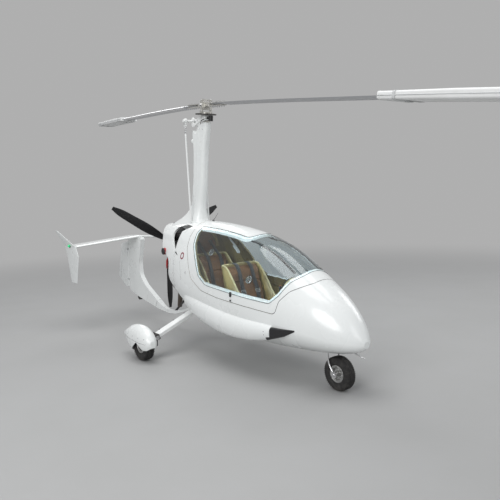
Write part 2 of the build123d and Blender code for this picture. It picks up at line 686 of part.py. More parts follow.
# Blades droop towards their tips: radius, drop below the hub plane, chord, thickness
BLADE_ROWS = [(222, 0, 70, 18.8), (432, 0, 150, 18.8), (520, 6, BLADE_CHORD, 23), (1000, 16, BLADE_CHORD, 23),
              (1700, 37, BLADE_CHORD, 23), (SLEEVE_FROM, 81, BLADE_CHORD, 23), (ROTOR_R - 12, 141, BLADE_CHORD, 23)]
SLEEVE_ROWS = [(SLEEVE_FROM, 81, 262, 52), (3500, 108, 268, 58), (ROTOR_R, 142, 262, 54)]
with BuildPart() as blade:
    for r, drop, chord, thick in BLADE_ROWS:
        with BuildSketch(Plane(origin=(r, 0, -drop), x_dir=(0, 1, 0), z_dir=(1, 0, 0))):
            with BuildLine():
                nose = EllipticalCenterArc((0.13 * chord, 0), 0.12 * chord, thick / 2, -90, arc_size=180)
                ThreePointArc(nose @ 1, (-0.28 * chord, 0.36 * thick), (-0.75 * chord, 1.2))
                Line((-0.75 * chord, 1.2), (-0.75 * chord, -1.2))
                ThreePointArc((-0.75 * chord, -1.2), (-0.28 * chord, -0.36 * thick), nose @ 0)
            make_face()
    loft(ruled=True)
with BuildPart() as sleeve:
    for r, drop, wide, thick in SLEEVE_ROWS:
        with BuildSketch(Plane(origin=(r, -50, -drop), x_dir=(0, 1, 0), z_dir=(1, 0, 0))):
            RectangleRounded(wide, thick, 14)
    loft(ruled=True)
    add(blade.part, mode=Mode.SUBTRACT)
for turn, name in ((0, "fore"), (180, "aft")):
    placed = rotor * Rot(Z=turn) * blade.part
    placed.label = "rotor_blade_" + name
    export_step(placed, "parts/rotor_blade_" + name + ".step")
    placed = rotor * Rot(Z=turn) * sleeve.part
    placed.label = "blade_sleeve_" + name
    export_step(placed, "parts/blade_sleeve_" + name + ".step")

# Two control rods beside the mast, from the bar's ends down into the cowling
with BuildPart() as control_rods:
    for y in (-120, 120):
        with BuildSketch(Plane(origin=(-284, y, 2500), z_dir=(0.036, 0, -1))):
            Circle(10)
        extrude(amount=1080)
with BuildPart() as rods_kept:
    add(control_rods.part)
    add(mast.part, mode=Mode.SUBTRACT)
    add(outer, mode=Mode.SUBTRACT)
    add(head * bearing_block.part, mode=Mode.SUBTRACT)
with BuildPart() as rods_long:
    add(rods_kept.part.solids().sort_by(SortBy.VOLUME)[-2:])
rods_long.part.label = "control_rods"
export_step(rods_long.part, "parts/control_rods.step")

# Cabin: moulded seats with cushions, panel, sticks
SEATS = {
    "front": ([(1085, 300), (1085, 432), (650, 414), (492, 985), (452, 985), (600, 395), (560, 300)],
              [(1080, 434), (1086, 490), (1050, 506), (742, 490), (722, 480), (730, 420)],
              [(652, 418), (716, 421), (712, 480), (676, 560), (570, 940), (530, 980), (496, 978)], 205),
    "rear": ([(480, 300), (480, 452), (90, 436), (-72, 1060), (-118, 1060), (30, 420), (10, 300)],
             [(476, 454), (482, 510), (450, 526), (182, 512), (162, 500), (168, 442)],
             [(92, 438.5), (154, 441), (150, 510), (120, 590), (10, 1000), (-30, 1052), (-66, 1050)], 195),
}
for name, (tub, base, back, half) in SEATS.items():
    with BuildPart() as seat_pan:
        with BuildSketch(Plane.XZ):
            with BuildLine():
                FilletPolyline(*tub, radius=6, close=True)
            make_face()
        extrude(amount=half, both=True)
        add(inner_tub, mode=Mode.INTERSECT)
        add(main_bow.part, mode=Mode.SUBTRACT)
    seat_pan.part.label = "seat_shell_" + name
    export_step(seat_pan.part, "parts/seat_shell_" + name + ".step")
    for outline, kind in ((base, "seat_cushion_"), (back, "seat_back_")):
        with BuildPart() as cushion:
            with BuildSketch(Plane.XZ):
                with BuildLine():
                    FilletPolyline(*outline, radius=9, close=True)
                make_face()
            extrude(amount=half - 12, both=True)
        cushion.part.label = kind + name
        export_step(cushion.part, "parts/" + kind + name + ".step")

with BuildPart() as panel:
    with BuildSketch(Plane.XZ):
        with BuildLine():
            FilletPolyline((1500, 560), (1400, 600), (1372, 800), (1430, 862), (1560, 850), (1580, 600),
                           radius=[6, 20, 30, 26, 20, 6], close=True)
        make_face()
    extrude(amount=215, both=True)
    with Locations((1520, 0, 460)):
        Box(90, 120, 220)
    add(inner_tub, mode=Mode.INTERSECT)
panel.part.label = "instrument_panel"
export_step(panel.part, "parts/instrument_panel.step")
with BuildPart() as sticks:
    for x, z in ((1210, 300), (535, 300)):
        with BuildSketch(Plane(origin=(x, 0, z), z_dir=(-0.12, 0, 1))):
            Circle(11)
        extrude(amount=400)
        with BuildSketch(Plane(origin=(x - 0.12 * 400, 0, z + 400), z_dir=(-0.12, 0, 1))):
            Circle(17)
        extrude(amount=120)
with BuildPart() as sticks_kept:
    add(sticks.part)
    add(inner_tub, mode=Mode.INTERSECT)
sticks_kept.part.label = "control_sticks"
export_step(sticks_kept.part, "parts/control_sticks.step")

# Canopy hinges on the port sill
HINGE_Y, HINGE_Z = 428.0, 702.0
with BuildPart() as hinge_pins:
    for x in (480, 1040):
        with Locations((x, HINGE_Y + 6, HINGE_Z)):
            Cylinder(6, 104, rotation=(0, 90, 0))
        for dx in (-36, 36):
            with Locations((x + dx, HINGE_Y + 6, HINGE_Z)):
                Cylinder(11, 30, rotation=(0, 90, 0))
            with Locations((x + dx, HINGE_Y - 6, HINGE_Z - 22)):
                Box(30, 24, 26)
with BuildPart() as hinge_fixed:
    add(hinge_pins.part)
    add(outer, mode=Mode.SUBTRACT)
    add(pods[1], mode=Mode.SUBTRACT)
hinge_fixed.part.label = "canopy_hinges"
export_step(hinge_fixed.part, "parts/canopy_hinges.step")
with BuildPart() as knuckles:
    for x in (480, 1040):
        with Locations((x, HINGE_Y + 6, HINGE_Z)):
            Cylinder(11, 34, rotation=(0, 90, 0))
        with Locations((x, HINGE_Y - 4, HINGE_Z + 18)):
            Box(34, 28, 24)
        with Locations((x, HINGE_Y + 6, HINGE_Z)):
            Cylinder(6 + FIT, 60, rotation=(0, 90, 0), mode=Mode.SUBTRACT)
    add(outer, mode=Mode.SUBTRACT)
knuckles.part.label = "canopy_knuckles"
export_step(knuckles.part, "parts/canopy_knuckles.step")
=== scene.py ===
from math import asin, cos, pi, radians, sin

import bmesh
import bpy
from mathutils import Matrix, Vector
from mathutils.bvhtree import BVHTree


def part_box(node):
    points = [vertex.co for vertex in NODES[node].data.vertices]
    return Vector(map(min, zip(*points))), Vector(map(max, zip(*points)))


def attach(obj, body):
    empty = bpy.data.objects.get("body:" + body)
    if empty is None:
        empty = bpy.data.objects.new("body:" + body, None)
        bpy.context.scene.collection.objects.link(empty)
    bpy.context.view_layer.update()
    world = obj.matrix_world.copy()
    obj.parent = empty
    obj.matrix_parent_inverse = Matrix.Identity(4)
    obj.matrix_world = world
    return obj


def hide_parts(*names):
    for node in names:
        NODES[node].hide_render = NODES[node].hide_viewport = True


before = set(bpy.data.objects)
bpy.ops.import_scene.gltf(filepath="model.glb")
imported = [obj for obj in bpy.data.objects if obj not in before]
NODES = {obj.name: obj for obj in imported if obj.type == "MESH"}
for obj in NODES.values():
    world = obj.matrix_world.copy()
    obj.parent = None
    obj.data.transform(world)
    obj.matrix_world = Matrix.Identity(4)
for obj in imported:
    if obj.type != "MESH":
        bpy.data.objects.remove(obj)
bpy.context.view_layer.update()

# Camera of the photograph: place in metres, heading and pitch in degrees, focal length in pixels
CAMERA_PLACE = (5.107, -3.370, 1.705)
HEADING, PITCH, ROLL = 52.713, 5.719, -2.019
FOCAL_PX, FRAME_PX = 547.66, 500.0

# Rotor axis: hub height, forward tilt and blade yaw
HUB = Vector((-0.02, 0.0, 2.70))
ROTOR_TILT, BLADE_YAW = radians(6.35), radians(-7.7)

SIDES = ((-1, "right"), (1, "left"))
SQUARE = ((-1, -1), (1, -1), (1, 1), (-1, 1))
CORE, PIN = 0.0005, 0.0004  # radii of the fine holes that lathed pieces keep on their axis
CABIN_Z = 0.68  # height of the cabin's middle line, from which its skin faces outwards


# Small mesh tools

def show(name, data):
    """Object in the scene holding the data."""
    piece = bpy.data.objects.new(name, data)
    bpy.context.scene.collection.objects.link(piece)
    return piece


def link(name, bm, look, body="airframe", smooth=True):
    """Turns a bmesh into an object that rides on a body."""
    mesh = bpy.data.meshes.new(name)
    bmesh.ops.recalc_face_normals(bm, faces=bm.faces)
    bm.to_mesh(mesh)
    bm.free()
    for poly in mesh.polygons:
        poly.use_smooth = smooth
    piece = show(name, mesh)
    mesh.materials.append(M[look])
    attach(piece, body)
    return piece


def bevel(piece, width, segments=2):
    """Rounded edges."""
    mod = piece.modifiers.new("edges", "BEVEL")
    mod.width = width
    mod.segments = segments
    mod.limit_method = "ANGLE"
    return piece


def wall(piece, thickness):
    """Gives an open skin a wall."""
    piece.modifiers.new("wall", "SOLIDIFY").thickness = thickness
    return piece


def hard(name, bm, look, width, segments=2, body="airframe"):
    """Flat-shaded piece with rounded edges."""
    return bevel(link(name, bm, look, body, smooth=False), width, segments)


def shift(x, y, z):
    return Matrix.Translation((x, y, z))


def spin(angle, axis="Z"):
    return Matrix.Rotation(angle, 4, axis)


def facing(origin, z_axis, x_hint=(1, 0, 0)):
    """Matrix whose z axis points along z_axis, its origin at origin."""
    z = Vector(z_axis).normalized()
    x = Vector(x_hint)
    x = x - z * x.dot(z)
    if x.length < 1e-4:
        x = Vector((0, 1, 0)) - z * z.y
    x.normalize()
    place = Matrix((x, z.cross(x), z)).transposed().to_4x4()
    place.translation = Vector(origin)
    return place


def circle(radius, count, start=0.0):
    """(x, y) points round a circle, the first one start steps on."""
    turns = [2 * pi * (k + start) / count for k in range(count)]
    return [(radius * cos(a), radius * sin(a)) for a in turns]


def half_round(wide, high, steps=24):
    """(x, y) points of the upper half of an ellipse."""
    return [(wide * cos(pi * k / steps), high * sin(pi * k / steps)) for k in range(steps + 1)]


def spoke(angle):
    """Direction across the body at an angle above port."""
    return Vector((0, cos(angle), sin(angle)))


def band(inner, outer, low, high):
    """Lathe profile of a plain ring between two radii and two heights."""
    return [(inner, low), (outer, low), (outer, high), (inner, high)]


def oblong(wide, high):
    """Corners of a rectangle of the given half sizes."""
    return [(wide * a, high * b) for a, b in SQUARE]


def held(value, limit=1.0):
    """The value, kept within the limit on both sides of 0."""
    return max(-limit, min(limit, value))


def spline_points(points, steps=8):
    """Points along a smooth curve through the given ones."""
    pts = [Vector(p) for p in points]
    ends = [pts[0] * 2 - pts[1]] + pts + [pts[-1] * 2 - pts[-2]]
    out = []
    for i in range(1, len(ends) - 2):
        a, b, c, d = ends[i - 1:i + 3]
        for k in range(steps):
            t = k / steps
            out.append(0.5 * (2 * b + (c - a) * t + (2 * a - 5 * b + 4 * c - d) * t * t
                              + (3 * b - a - 3 * c + d) * t ** 3))
    out.append(pts[-1])
    return out


def ahead_of(path, i):
    """Direction of the path at its point i."""
    return (path[min(i + 1, len(path) - 1)] - path[max(i - 1, 0)]).normalized()


def quads(bm, rings, closed=True):
    """Faces between neighbouring rings of vertices."""
    count = len(rings[0])
    for a, b in zip(rings, rings[1:]):
        for k in range(count if closed else count - 1):
            j = (k + 1) % count
            bm.faces.new((a[k], a[j], b[j], b[k]))


def add_rows(bm, rows, closed=True, caps=True):
    """Skin over rows of points, with a face on its first and last row."""
    rings = [[bm.verts.new(point) for point in row] for row in rows]
    quads(bm, rings, closed)
    if caps:
        bm.faces.new(rings[0])
        bm.faces.new(rings[-1])


def add_tube(bm, path, radius, sides=12):
    """Round tube with closed ends along a path, radius a number or a function of 0 to 1."""
    rows = []
    up = Vector((0, 0, 1))
    for i, point in enumerate(path):
        ahead = ahead_of(path, i)
        if abs(ahead.dot(up)) > 0.97:
            up = Vector((1, 0, 0))
        side = ahead.cross(up).normalized()
        up = side.cross(ahead).normalized()
        r = radius(i / (len(path) - 1)) if callable(radius) else radius
        rows.append([point + side * x + up * y for x, y in circle(r, sides)])
    add_rows(bm, rows)


def add_strap(bm, path, width, thick, across=(0, 1, 0)):
    """Flat webbing along a path, its width along the across direction."""
    rows = []
    for i, point in enumerate(path):
        ahead, side = ahead_of(path, i), Vector(across)
        side = (side - ahead * side.dot(ahead)).normalized() * width / 2
        lift = ahead.cross(side).normalized() * thick / 2
        rows.append([point + side * a + lift * b for a, b in SQUARE])
    add_rows(bm, rows)


def add_lathe(bm, profile, place, steps=32):
    """Closed profile of (radius, height) turned round the place matrix's own z axis."""
    rings = []
    for k in range(steps):
        turn = place @ spin(2 * pi * k / steps)
        rings.append([bm.verts.new(turn @ Vector((r, 0, z))) for r, z in profile])
    quads(bm, rings + rings[:1])


def add_prism(bm, outline, place, depth):
    """Flat outline of (x, y) in the place matrix's plane, thickened along its z axis."""
    low = [bm.verts.new(place @ Vector((x, y, 0))) for x, y in outline]
    high = [bm.verts.new(place @ Vector((x, y, depth))) for x, y in outline]
    bm.faces.new(low)
    bm.faces.new(high)
    quads(bm, (low, high))


def add_block(bm, centre, size, place=Matrix.Identity(4)):
    """Box of the given size about a centre, in the place matrix's frame."""
    x, y, z = (c / 2 for c in size)
    outline = [(centre[0] + a, centre[1] + b) for a, b in oblong(x, y)]
    add_prism(bm, outline, place @ shift(0, 0, centre[2] - z), 2 * z)


def add_ball(bm, centre, radius, flat):
    """Round ball, flattened along z."""
    place = Matrix.Translation(centre) @ Matrix.Diagonal((radius, radius, radius * flat, 1))
    bmesh.ops.create_uvsphere(bm, u_segments=20, v_segments=12, radius=1, matrix=place)


def fasteners(name, places, radius, height, body="airframe"):
    """Hexagon heads on washers, one piece for all the (point, axis) places."""
    bm = bmesh.new()
    rim, thick = radius * 1.4, height * 0.3
    for point, axis in places:
        place = facing(point, axis)
        add_lathe(bm, band(PIN, rim, 0, thick), place, 16)
        add_prism(bm, circle(radius, 6), place @ shift(0, 0, height * 0.25), height)
    link(name, bm, "steel", body, smooth=False)


def turned(name, profile, place, look, steps, body="airframe"):
    """One lathed piece."""
    bm = bmesh.new()
    add_lathe(bm, profile, place, steps)
    return link(name, bm, look, body)


def tube(name, path, radius, look="hose", sides=12, body="airframe"):
    """One tube along a path."""
    bm = bmesh.new()
    add_tube(bm, path, radius, sides)
    return link(name, bm, look, body)


def box_of(node):
    """Low corner, high corner and middle of a node's box."""
    low, high = (Vector(c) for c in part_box(node))
    return low, high, (low + high) / 2


def target(*nodes):
    """Ray target made of the nodes' own meshes."""
    points, faces = [], []
    for name in nodes:
        mesh = NODES[name].data
        base = len(points)
        points += [v.co.copy() for v in mesh.vertices]
        faces += [[base + i for i in poly.vertices] for poly in mesh.polygons]
    return BVHTree.FromPolygons(points, faces)


def struck(tree, start, direction):
    """Point and outward normal where a ray meets the target."""
    point, normal, _, _ = tree.ray_cast(Vector(start), Vector(direction).normalized())
    if normal.dot(Vector(direction)) > 0:
        normal = -normal
    return point, normal


SHARP = radians(35)


def sharp_runs(node, keep):
    """Runs of points along a node's sharp edges, where keep(edge) is true."""
    bm = bmesh.new()
    bm.from_mesh(NODES[node].data)
    bmesh.ops.remove_doubles(bm, verts=bm.verts[:], dist=2e-5)
    edges = [e for e in bm.edges if len(e.link_faces) == 2 and e.calc_face_angle() > SHARP and keep(e)]
    meet = {}
    for edge in edges:
        for vert in edge.verts:
            meet.setdefault(vert, []).append(edge)
    runs, used = [], set()
    for start in [v for v in meet if len(meet[v]) != 2] + list(meet):
        for first in meet[start]:
            vert, edge, run = start, first, [start.co.copy()]
            while edge is not None and edge not in used:
                used.add(edge)
                vert = edge.other_vert(vert)
                run.append(vert.co.copy())
                onward = [e for e in meet[vert] if e not in used]
                edge = onward[0] if len(meet[vert]) == 2 and onward else None
            if len(run) > 1:
                runs.append(run)
    bm.free()
    return runs


def even(run, step):
    """The run's points again, spaced evenly."""
    out, left = [run[0]], step
    for a, b in zip(run, run[1:]):
        length = (b - a).length
        while length > left:
            a = a + (b - a).normalized() * left
            length = (b - a).length
            out.append(a.copy())
            left = step
        left -= length
    if (out[-1] - run[-1]).length > step * 0.3:
        out.append(run[-1])
    return out


# Materials

class Surface:
    """One Principled material with a few layered procedural details."""

    def __init__(self, name, color, roughness, metallic=0.0, **sockets):
        self.material = bpy.data.materials.new(name)
        self.material.use_nodes = True
        self.nodes, self.links = self.material.node_tree.nodes, self.material.node_tree.links
        self.bsdf = self.nodes["Principled BSDF"]
        self.coords = self.nodes.new("ShaderNodeTexCoord").outputs["Object"]
        self.color = self.rgb(color)
        self.height = None
        for socket, value in {"Roughness": roughness, "Metallic": metallic, **sockets}.items():
            self.bsdf.inputs[socket.replace("_", " ")].default_value = value

    def rgb(self, color):
        node = self.nodes.new("ShaderNodeRGB")
        node.outputs[0].default_value = (*color, 1)
        return node.outputs[0]

    def texture(self, kind, stretch, **inputs):
        """Texture node on the object's coordinates, stretched."""
        mapping = self.nodes.new("ShaderNodeMapping")
        mapping.inputs["Scale"].default_value = stretch
        self.links.new(self.coords, mapping.inputs["Vector"])
        node = self.nodes.new(kind)
        for socket, value in inputs.items():
            node.inputs[socket].default_value = value
        self.links.new(mapping.outputs[0], node.inputs["Vector"])
        return node

    def noise(self, scale, detail=4.0, rough=0.55, stretch=(1, 1, 1)):
        node = self.texture("ShaderNodeTexNoise", stretch, Scale=scale, Detail=detail, Roughness=rough)
        return node.outputs["Fac"]

    def cells(self, scale):
        return self.texture("ShaderNodeTexVoronoi", (1, 1, 1), Scale=scale).outputs["Distance"]

    def math(self, operation, *values):
        node = self.nodes.new("ShaderNodeMath")
        node.operation = operation
        for socket, value in zip(node.inputs, values):
            if isinstance(value, (int, float)):
                socket.default_value = value
            else:
                self.links.new(value, socket)
        return node.outputs[0]

    def span(self, value, low, high, to_low=0.0, to_high=1.0):
        """The value's range of low to high, eased to another range."""
        node = self.nodes.new("ShaderNodeMapRange")
        node.interpolation_type = "SMOOTHSTEP"
        self.links.new(value, node.inputs["Value"])
        for key, number in (("From Min", low), ("From Max", high), ("To Min", to_low), ("To Max", to_high)):
            node.inputs[key].default_value = number
        return node.outputs[0]

    def split(self, vector):
        """The three parts of a vector."""
        node = self.nodes.new("ShaderNodeSeparateXYZ")
        self.links.new(vector, node.inputs[0])
        return node.outputs

    def axis(self, index):
        return self.split(self.coords)[index]

    def weave(self, pitch, u=0, v=2):
        """Over-and-under pattern of two crossing threads, 0 to 1."""
        waves = [self.math("SINE", self.math("MULTIPLY", self.axis(i), 2 * pi / pitch)) for i in (u, v)]
        return self.math("MULTIPLY_ADD", self.math("MULTIPLY", *waves), 0.5)

    def tint(self, mask, color, strength=1.0):
        """Mixes a colour in where the mask is 1."""
        node = self.nodes.new("ShaderNodeMix")
        node.data_type = "RGBA"
        self.links.new(self.math("MULTIPLY", mask, strength), node.inputs["Factor"])
        self.links.new(self.color, node.inputs["A"])
        self.links.new(self.rgb(color), node.inputs["B"])
        self.color = node.outputs["Result"]

    def stain(self, grain, low, high, color, strength=1.0):
        """Mixes a colour in where a noise of that grain lies above low, fully from high on."""
        self.tint(self.span(self.noise(*grain), low, high), color, strength)

    def rough(self, mask, low, high):
        self.links.new(self.span(mask, 0.3, 0.7, low, high), self.bsdf.inputs["Roughness"])

    def bump(self, value, height):
        """Adds a height in metres times the value."""
        layer = self.math("MULTIPLY", value, height)
        self.height = layer if self.height is None else self.math("ADD", self.height, layer)

    def mixed(self, mask, first, second):
        """Sends the first shader to the output, or the second where the mask is 1."""
        mix = self.nodes.new("ShaderNodeMixShader")
        self.links.new(mask, mix.inputs["Fac"])
        self.links.new(first.outputs[0], mix.inputs[1])
        self.links.new(second.outputs[0], mix.inputs[2])
        self.links.new(mix.outputs[0], self.nodes["Material Output"].inputs["Surface"])

    def done(self):
        self.links.new(self.color, self.bsdf.inputs["Base Color"])
        if self.height is not None:
            node = self.nodes.new("ShaderNodeBump")
            node.inputs["Distance"].default_value = 1.0
            self.links.new(self.height, node.inputs["Height"])
            self.links.new(node.outputs[0], self.bsdf.inputs["Normal"])
        return self.material


def shade(color, share):
    return [c * share for c in color]


def layered(name, color, roughness, stains=(), bumps=(), cells=(), rough=None, **sockets):
    """Surface of noise stains, noise bumps (grain, height), cell bumps (scale, height) and roughness."""
    s = Surface(name, color, roughness, **sockets)
    for stain in stains:
        s.stain(*stain)
    if rough:
        s.rough(s.noise(*rough[0]), *rough[1:])
    for scale, height in cells:
        s.bump(s.cells(scale), height)
    for grain, height in bumps:
        s.bump(s.noise(*grain), height)
    return s


WHITE = (0.86, 0.88, 0.87)
# Where the shell shows its lining, and behind the cabin where the lining is painted nearly black as painted
# shade: each pair of places runs from none to full
ABOVE_SILL, BETWEEN_PODS, SHADE_BEHIND_CABIN = (0.62, 0.64), (0.31, 0.29), (-0.19, -0.2)


def gelcoat(name, dust=0.12):
    """Glossy white moulded skin, a little wavy, with road dust low down and faint runs."""
    s = layered(name, WHITE, 0.28, [((1.7, 2), 0.35, 0.75, shade(WHITE, 0.98))], [((2.4, 0), 0.0006)],
                rough=((3, 3), 0.25, 0.31), Coat_Weight=0.5, Coat_Roughness=0.08)
    low_down = s.span(s.axis(2), 0.45, 0.1)
    speckle = s.span(s.noise(38, 6, 0.7), 0.42, 0.68)
    s.tint(s.math("MULTIPLY", low_down, speckle), (0.46, 0.43, 0.38), dust)
    s.stain((9, 2, 0.5, (3, 3, 0.25)), 0.60, 0.85, (0.66, 0.66, 0.64), 0.04)
    return s


def shell_skin(name, lining, thread, dust):
    """White outside, yellowish fibre weave on the faces that look into the cabin, turned nearly black behind
    the cabin as painted shade.
    """
    s = gelcoat(name, dust)
    normal = s.split(s.nodes.new("ShaderNodeNewGeometry").outputs["True Normal"])
    outward = s.math("MULTIPLY", normal[1], s.axis(1))
    for index, middle in ((2, 0.70), (0, 0.9)):
        lean = s.math("MULTIPLY", normal[index], s.math("SUBTRACT", s.axis(index), middle))
        outward = s.math("ADD", outward, lean)
    within = s.math("MAXIMUM", s.span(s.axis(2), *ABOVE_SILL),
                    s.span(s.math("ABSOLUTE", s.axis(1)), *BETWEEN_PODS))
    inside = s.math("MULTIPLY", s.span(outward, 0.01, -0.01), within)
    s.tint(inside, lining)
    # The last layer is painted shade: the lining behind the cabin turns nearly black
    for mask, color, strength in (
            (s.span(s.weave(0.011), -0.2, 0.3), thread, 0.8),
            (s.span(s.noise(3, 4), 0.4, 0.7), shade(lining, 0.7), 0.5),
            (s.span(s.axis(0), *SHADE_BEHIND_CABIN), (0.02, 0.019, 0.018), 1.0)):
        s.tint(s.math("MULTIPLY", inside, mask), color, strength)
    return s.done()


def rubber(name):
    s = layered(name, (0.022, 0.021, 0.021), 0.78, [((30, 6, 0.7), 0.45, 0.7, (0.085, 0.08, 0.072), 0.55)],
                [((420, 3), 0.00025), ((60, 3), 0.0004)])
    s.tint(s.span(s.axis(2), 0.05, 0.0), (0.13, 0.12, 0.105), 0.5)
    return s.done()


def metal(name, color, roughness, stretch=(1, 1, 1), scale=60, wear=(0.2, 0.2, 0.2), amount=0.25):
    """Bare metal with a grain that may be stretched, and worn spots."""
    grain = (scale, 4, 0.6, stretch)
    return layered(name, color, roughness, [((24, 6, 0.7), 0.5, 0.72, wear, amount)], [(grain, 0.00012)],
                   rough=(grain, roughness * 0.8, roughness * 1.25), metallic=1.0).done()


def painted(name, color, roughness=0.45, texture=180.0, chips=0.3):
    return layered(name, color, roughness, [((5, 3), 0.35, 0.75, shade(color, 0.95)),
                                            ((45, 6, 0.7), 0.58, 0.72, (0.36, 0.34, 0.31), chips)],
                   [((texture, 3), 0.00012)], rough=((12, 5), roughness * 0.85, roughness * 1.2),
                   Coat_Weight=0.15, Coat_Roughness=0.3).done()


def carbon(name, color, pitch=0.006, roughness=0.3, u=0, coat=0.35):
    """Black fibre under clear coat, its weave seen along y or x."""
    s = Surface(name, color, roughness, Coat_Weight=coat, Coat_Roughness=0.06, Specular_IOR_Level=0.3)
    s.tint(s.span(s.weave(pitch, u), -0.1, 0.25), (0.020, 0.020, 0.022), 0.7)
    s.stain((26, 6, 0.7), 0.55, 0.75, (0.05, 0.049, 0.045), 0.2)
    s.bump(s.noise(8, 2), 0.0005)
    return s.done()


def plastic(name, color=(0.022, 0.022, 0.024), roughness=0.55):
    worn = [c * 2.2 + 0.01 for c in color]
    return layered(name, color, roughness, [((18, 6), 0.4, 0.75, worn, 0.4)], cells=[(520, 0.00015)],
                   rough=((30, 4), roughness * 0.8, roughness * 1.15)).done()


def glass(name, tint):
    """Clear acrylic that lets the lamps light what is behind it."""
    s = layered(name, tint, 0.02, [((5, 3), 0.45, 0.75, shade(tint, 0.985))],
                Transmission_Weight=1.0, IOR=1.45)
    s.links.new(s.span(s.noise(6, 3), 0.40, 0.80, 0.015, 0.03), s.bsdf.inputs["Roughness"])
    clear = s.nodes.new("ShaderNodeBsdfTransparent")
    clear.inputs["Color"].default_value = (*tint, 1)
    s.mixed(s.nodes.new("ShaderNodeLightPath").outputs["Is Shadow Ray"], s.bsdf, clear)
    return s.done()


def sleeve_cloth():
    s = layered("sleeve_vinyl", (0.80, 0.805, 0.80), 0.55,
                [((6, 5), 0.4, 0.7, (0.74, 0.74, 0.725), 0.6),
                 ((30, 6, 0.7), 0.6, 0.75, (0.52, 0.51, 0.48), 0.15)],
                [((7, 2), 0.0012)], Sheen_Weight=0.1)
    s.bump(s.weave(0.0022, 0, 1), 0.00005)
    return s.done()


def webbing():
    s = Surface("harness_webbing", (0.014, 0.014, 0.016), 0.72, Sheen_Weight=0.3)
    s.tint(s.span(s.weave(0.0045, 1), -0.1, 0.4), (0.035, 0.035, 0.038), 0.8)
    s.stain((20, 5), 0.55, 0.75, (0.06, 0.058, 0.055), 0.35)
    s.bump(s.weave(0.0045, 1), 0.0003)
    return s.done()


def kevlar(name, color, thread):
    """Clear-coated yellow fibre laminate of the seat tubs."""
    s = Surface(name, color, 0.36, Coat_Weight=0.4, Coat_Roughness=0.2)
    s.tint(s.span(s.weave(0.010), -0.1, 0.3), thread, 0.8)
    s.stain((5, 5), 0.4, 0.75, shade(color, 0.6), 0.6)
    s.bump(s.weave(0.010), 0.0002)
    return s.done()


def lamp_lens(name, color):
    return layered(name, color, 0.08, [((30, 4), 0.4, 0.8, shade(color, 0.7), 0.5)], cells=[(260, 0.0004)],
                   Coat_Weight=1.0, Emission_Color=(*color, 1), Emission_Strength=0.9).done()


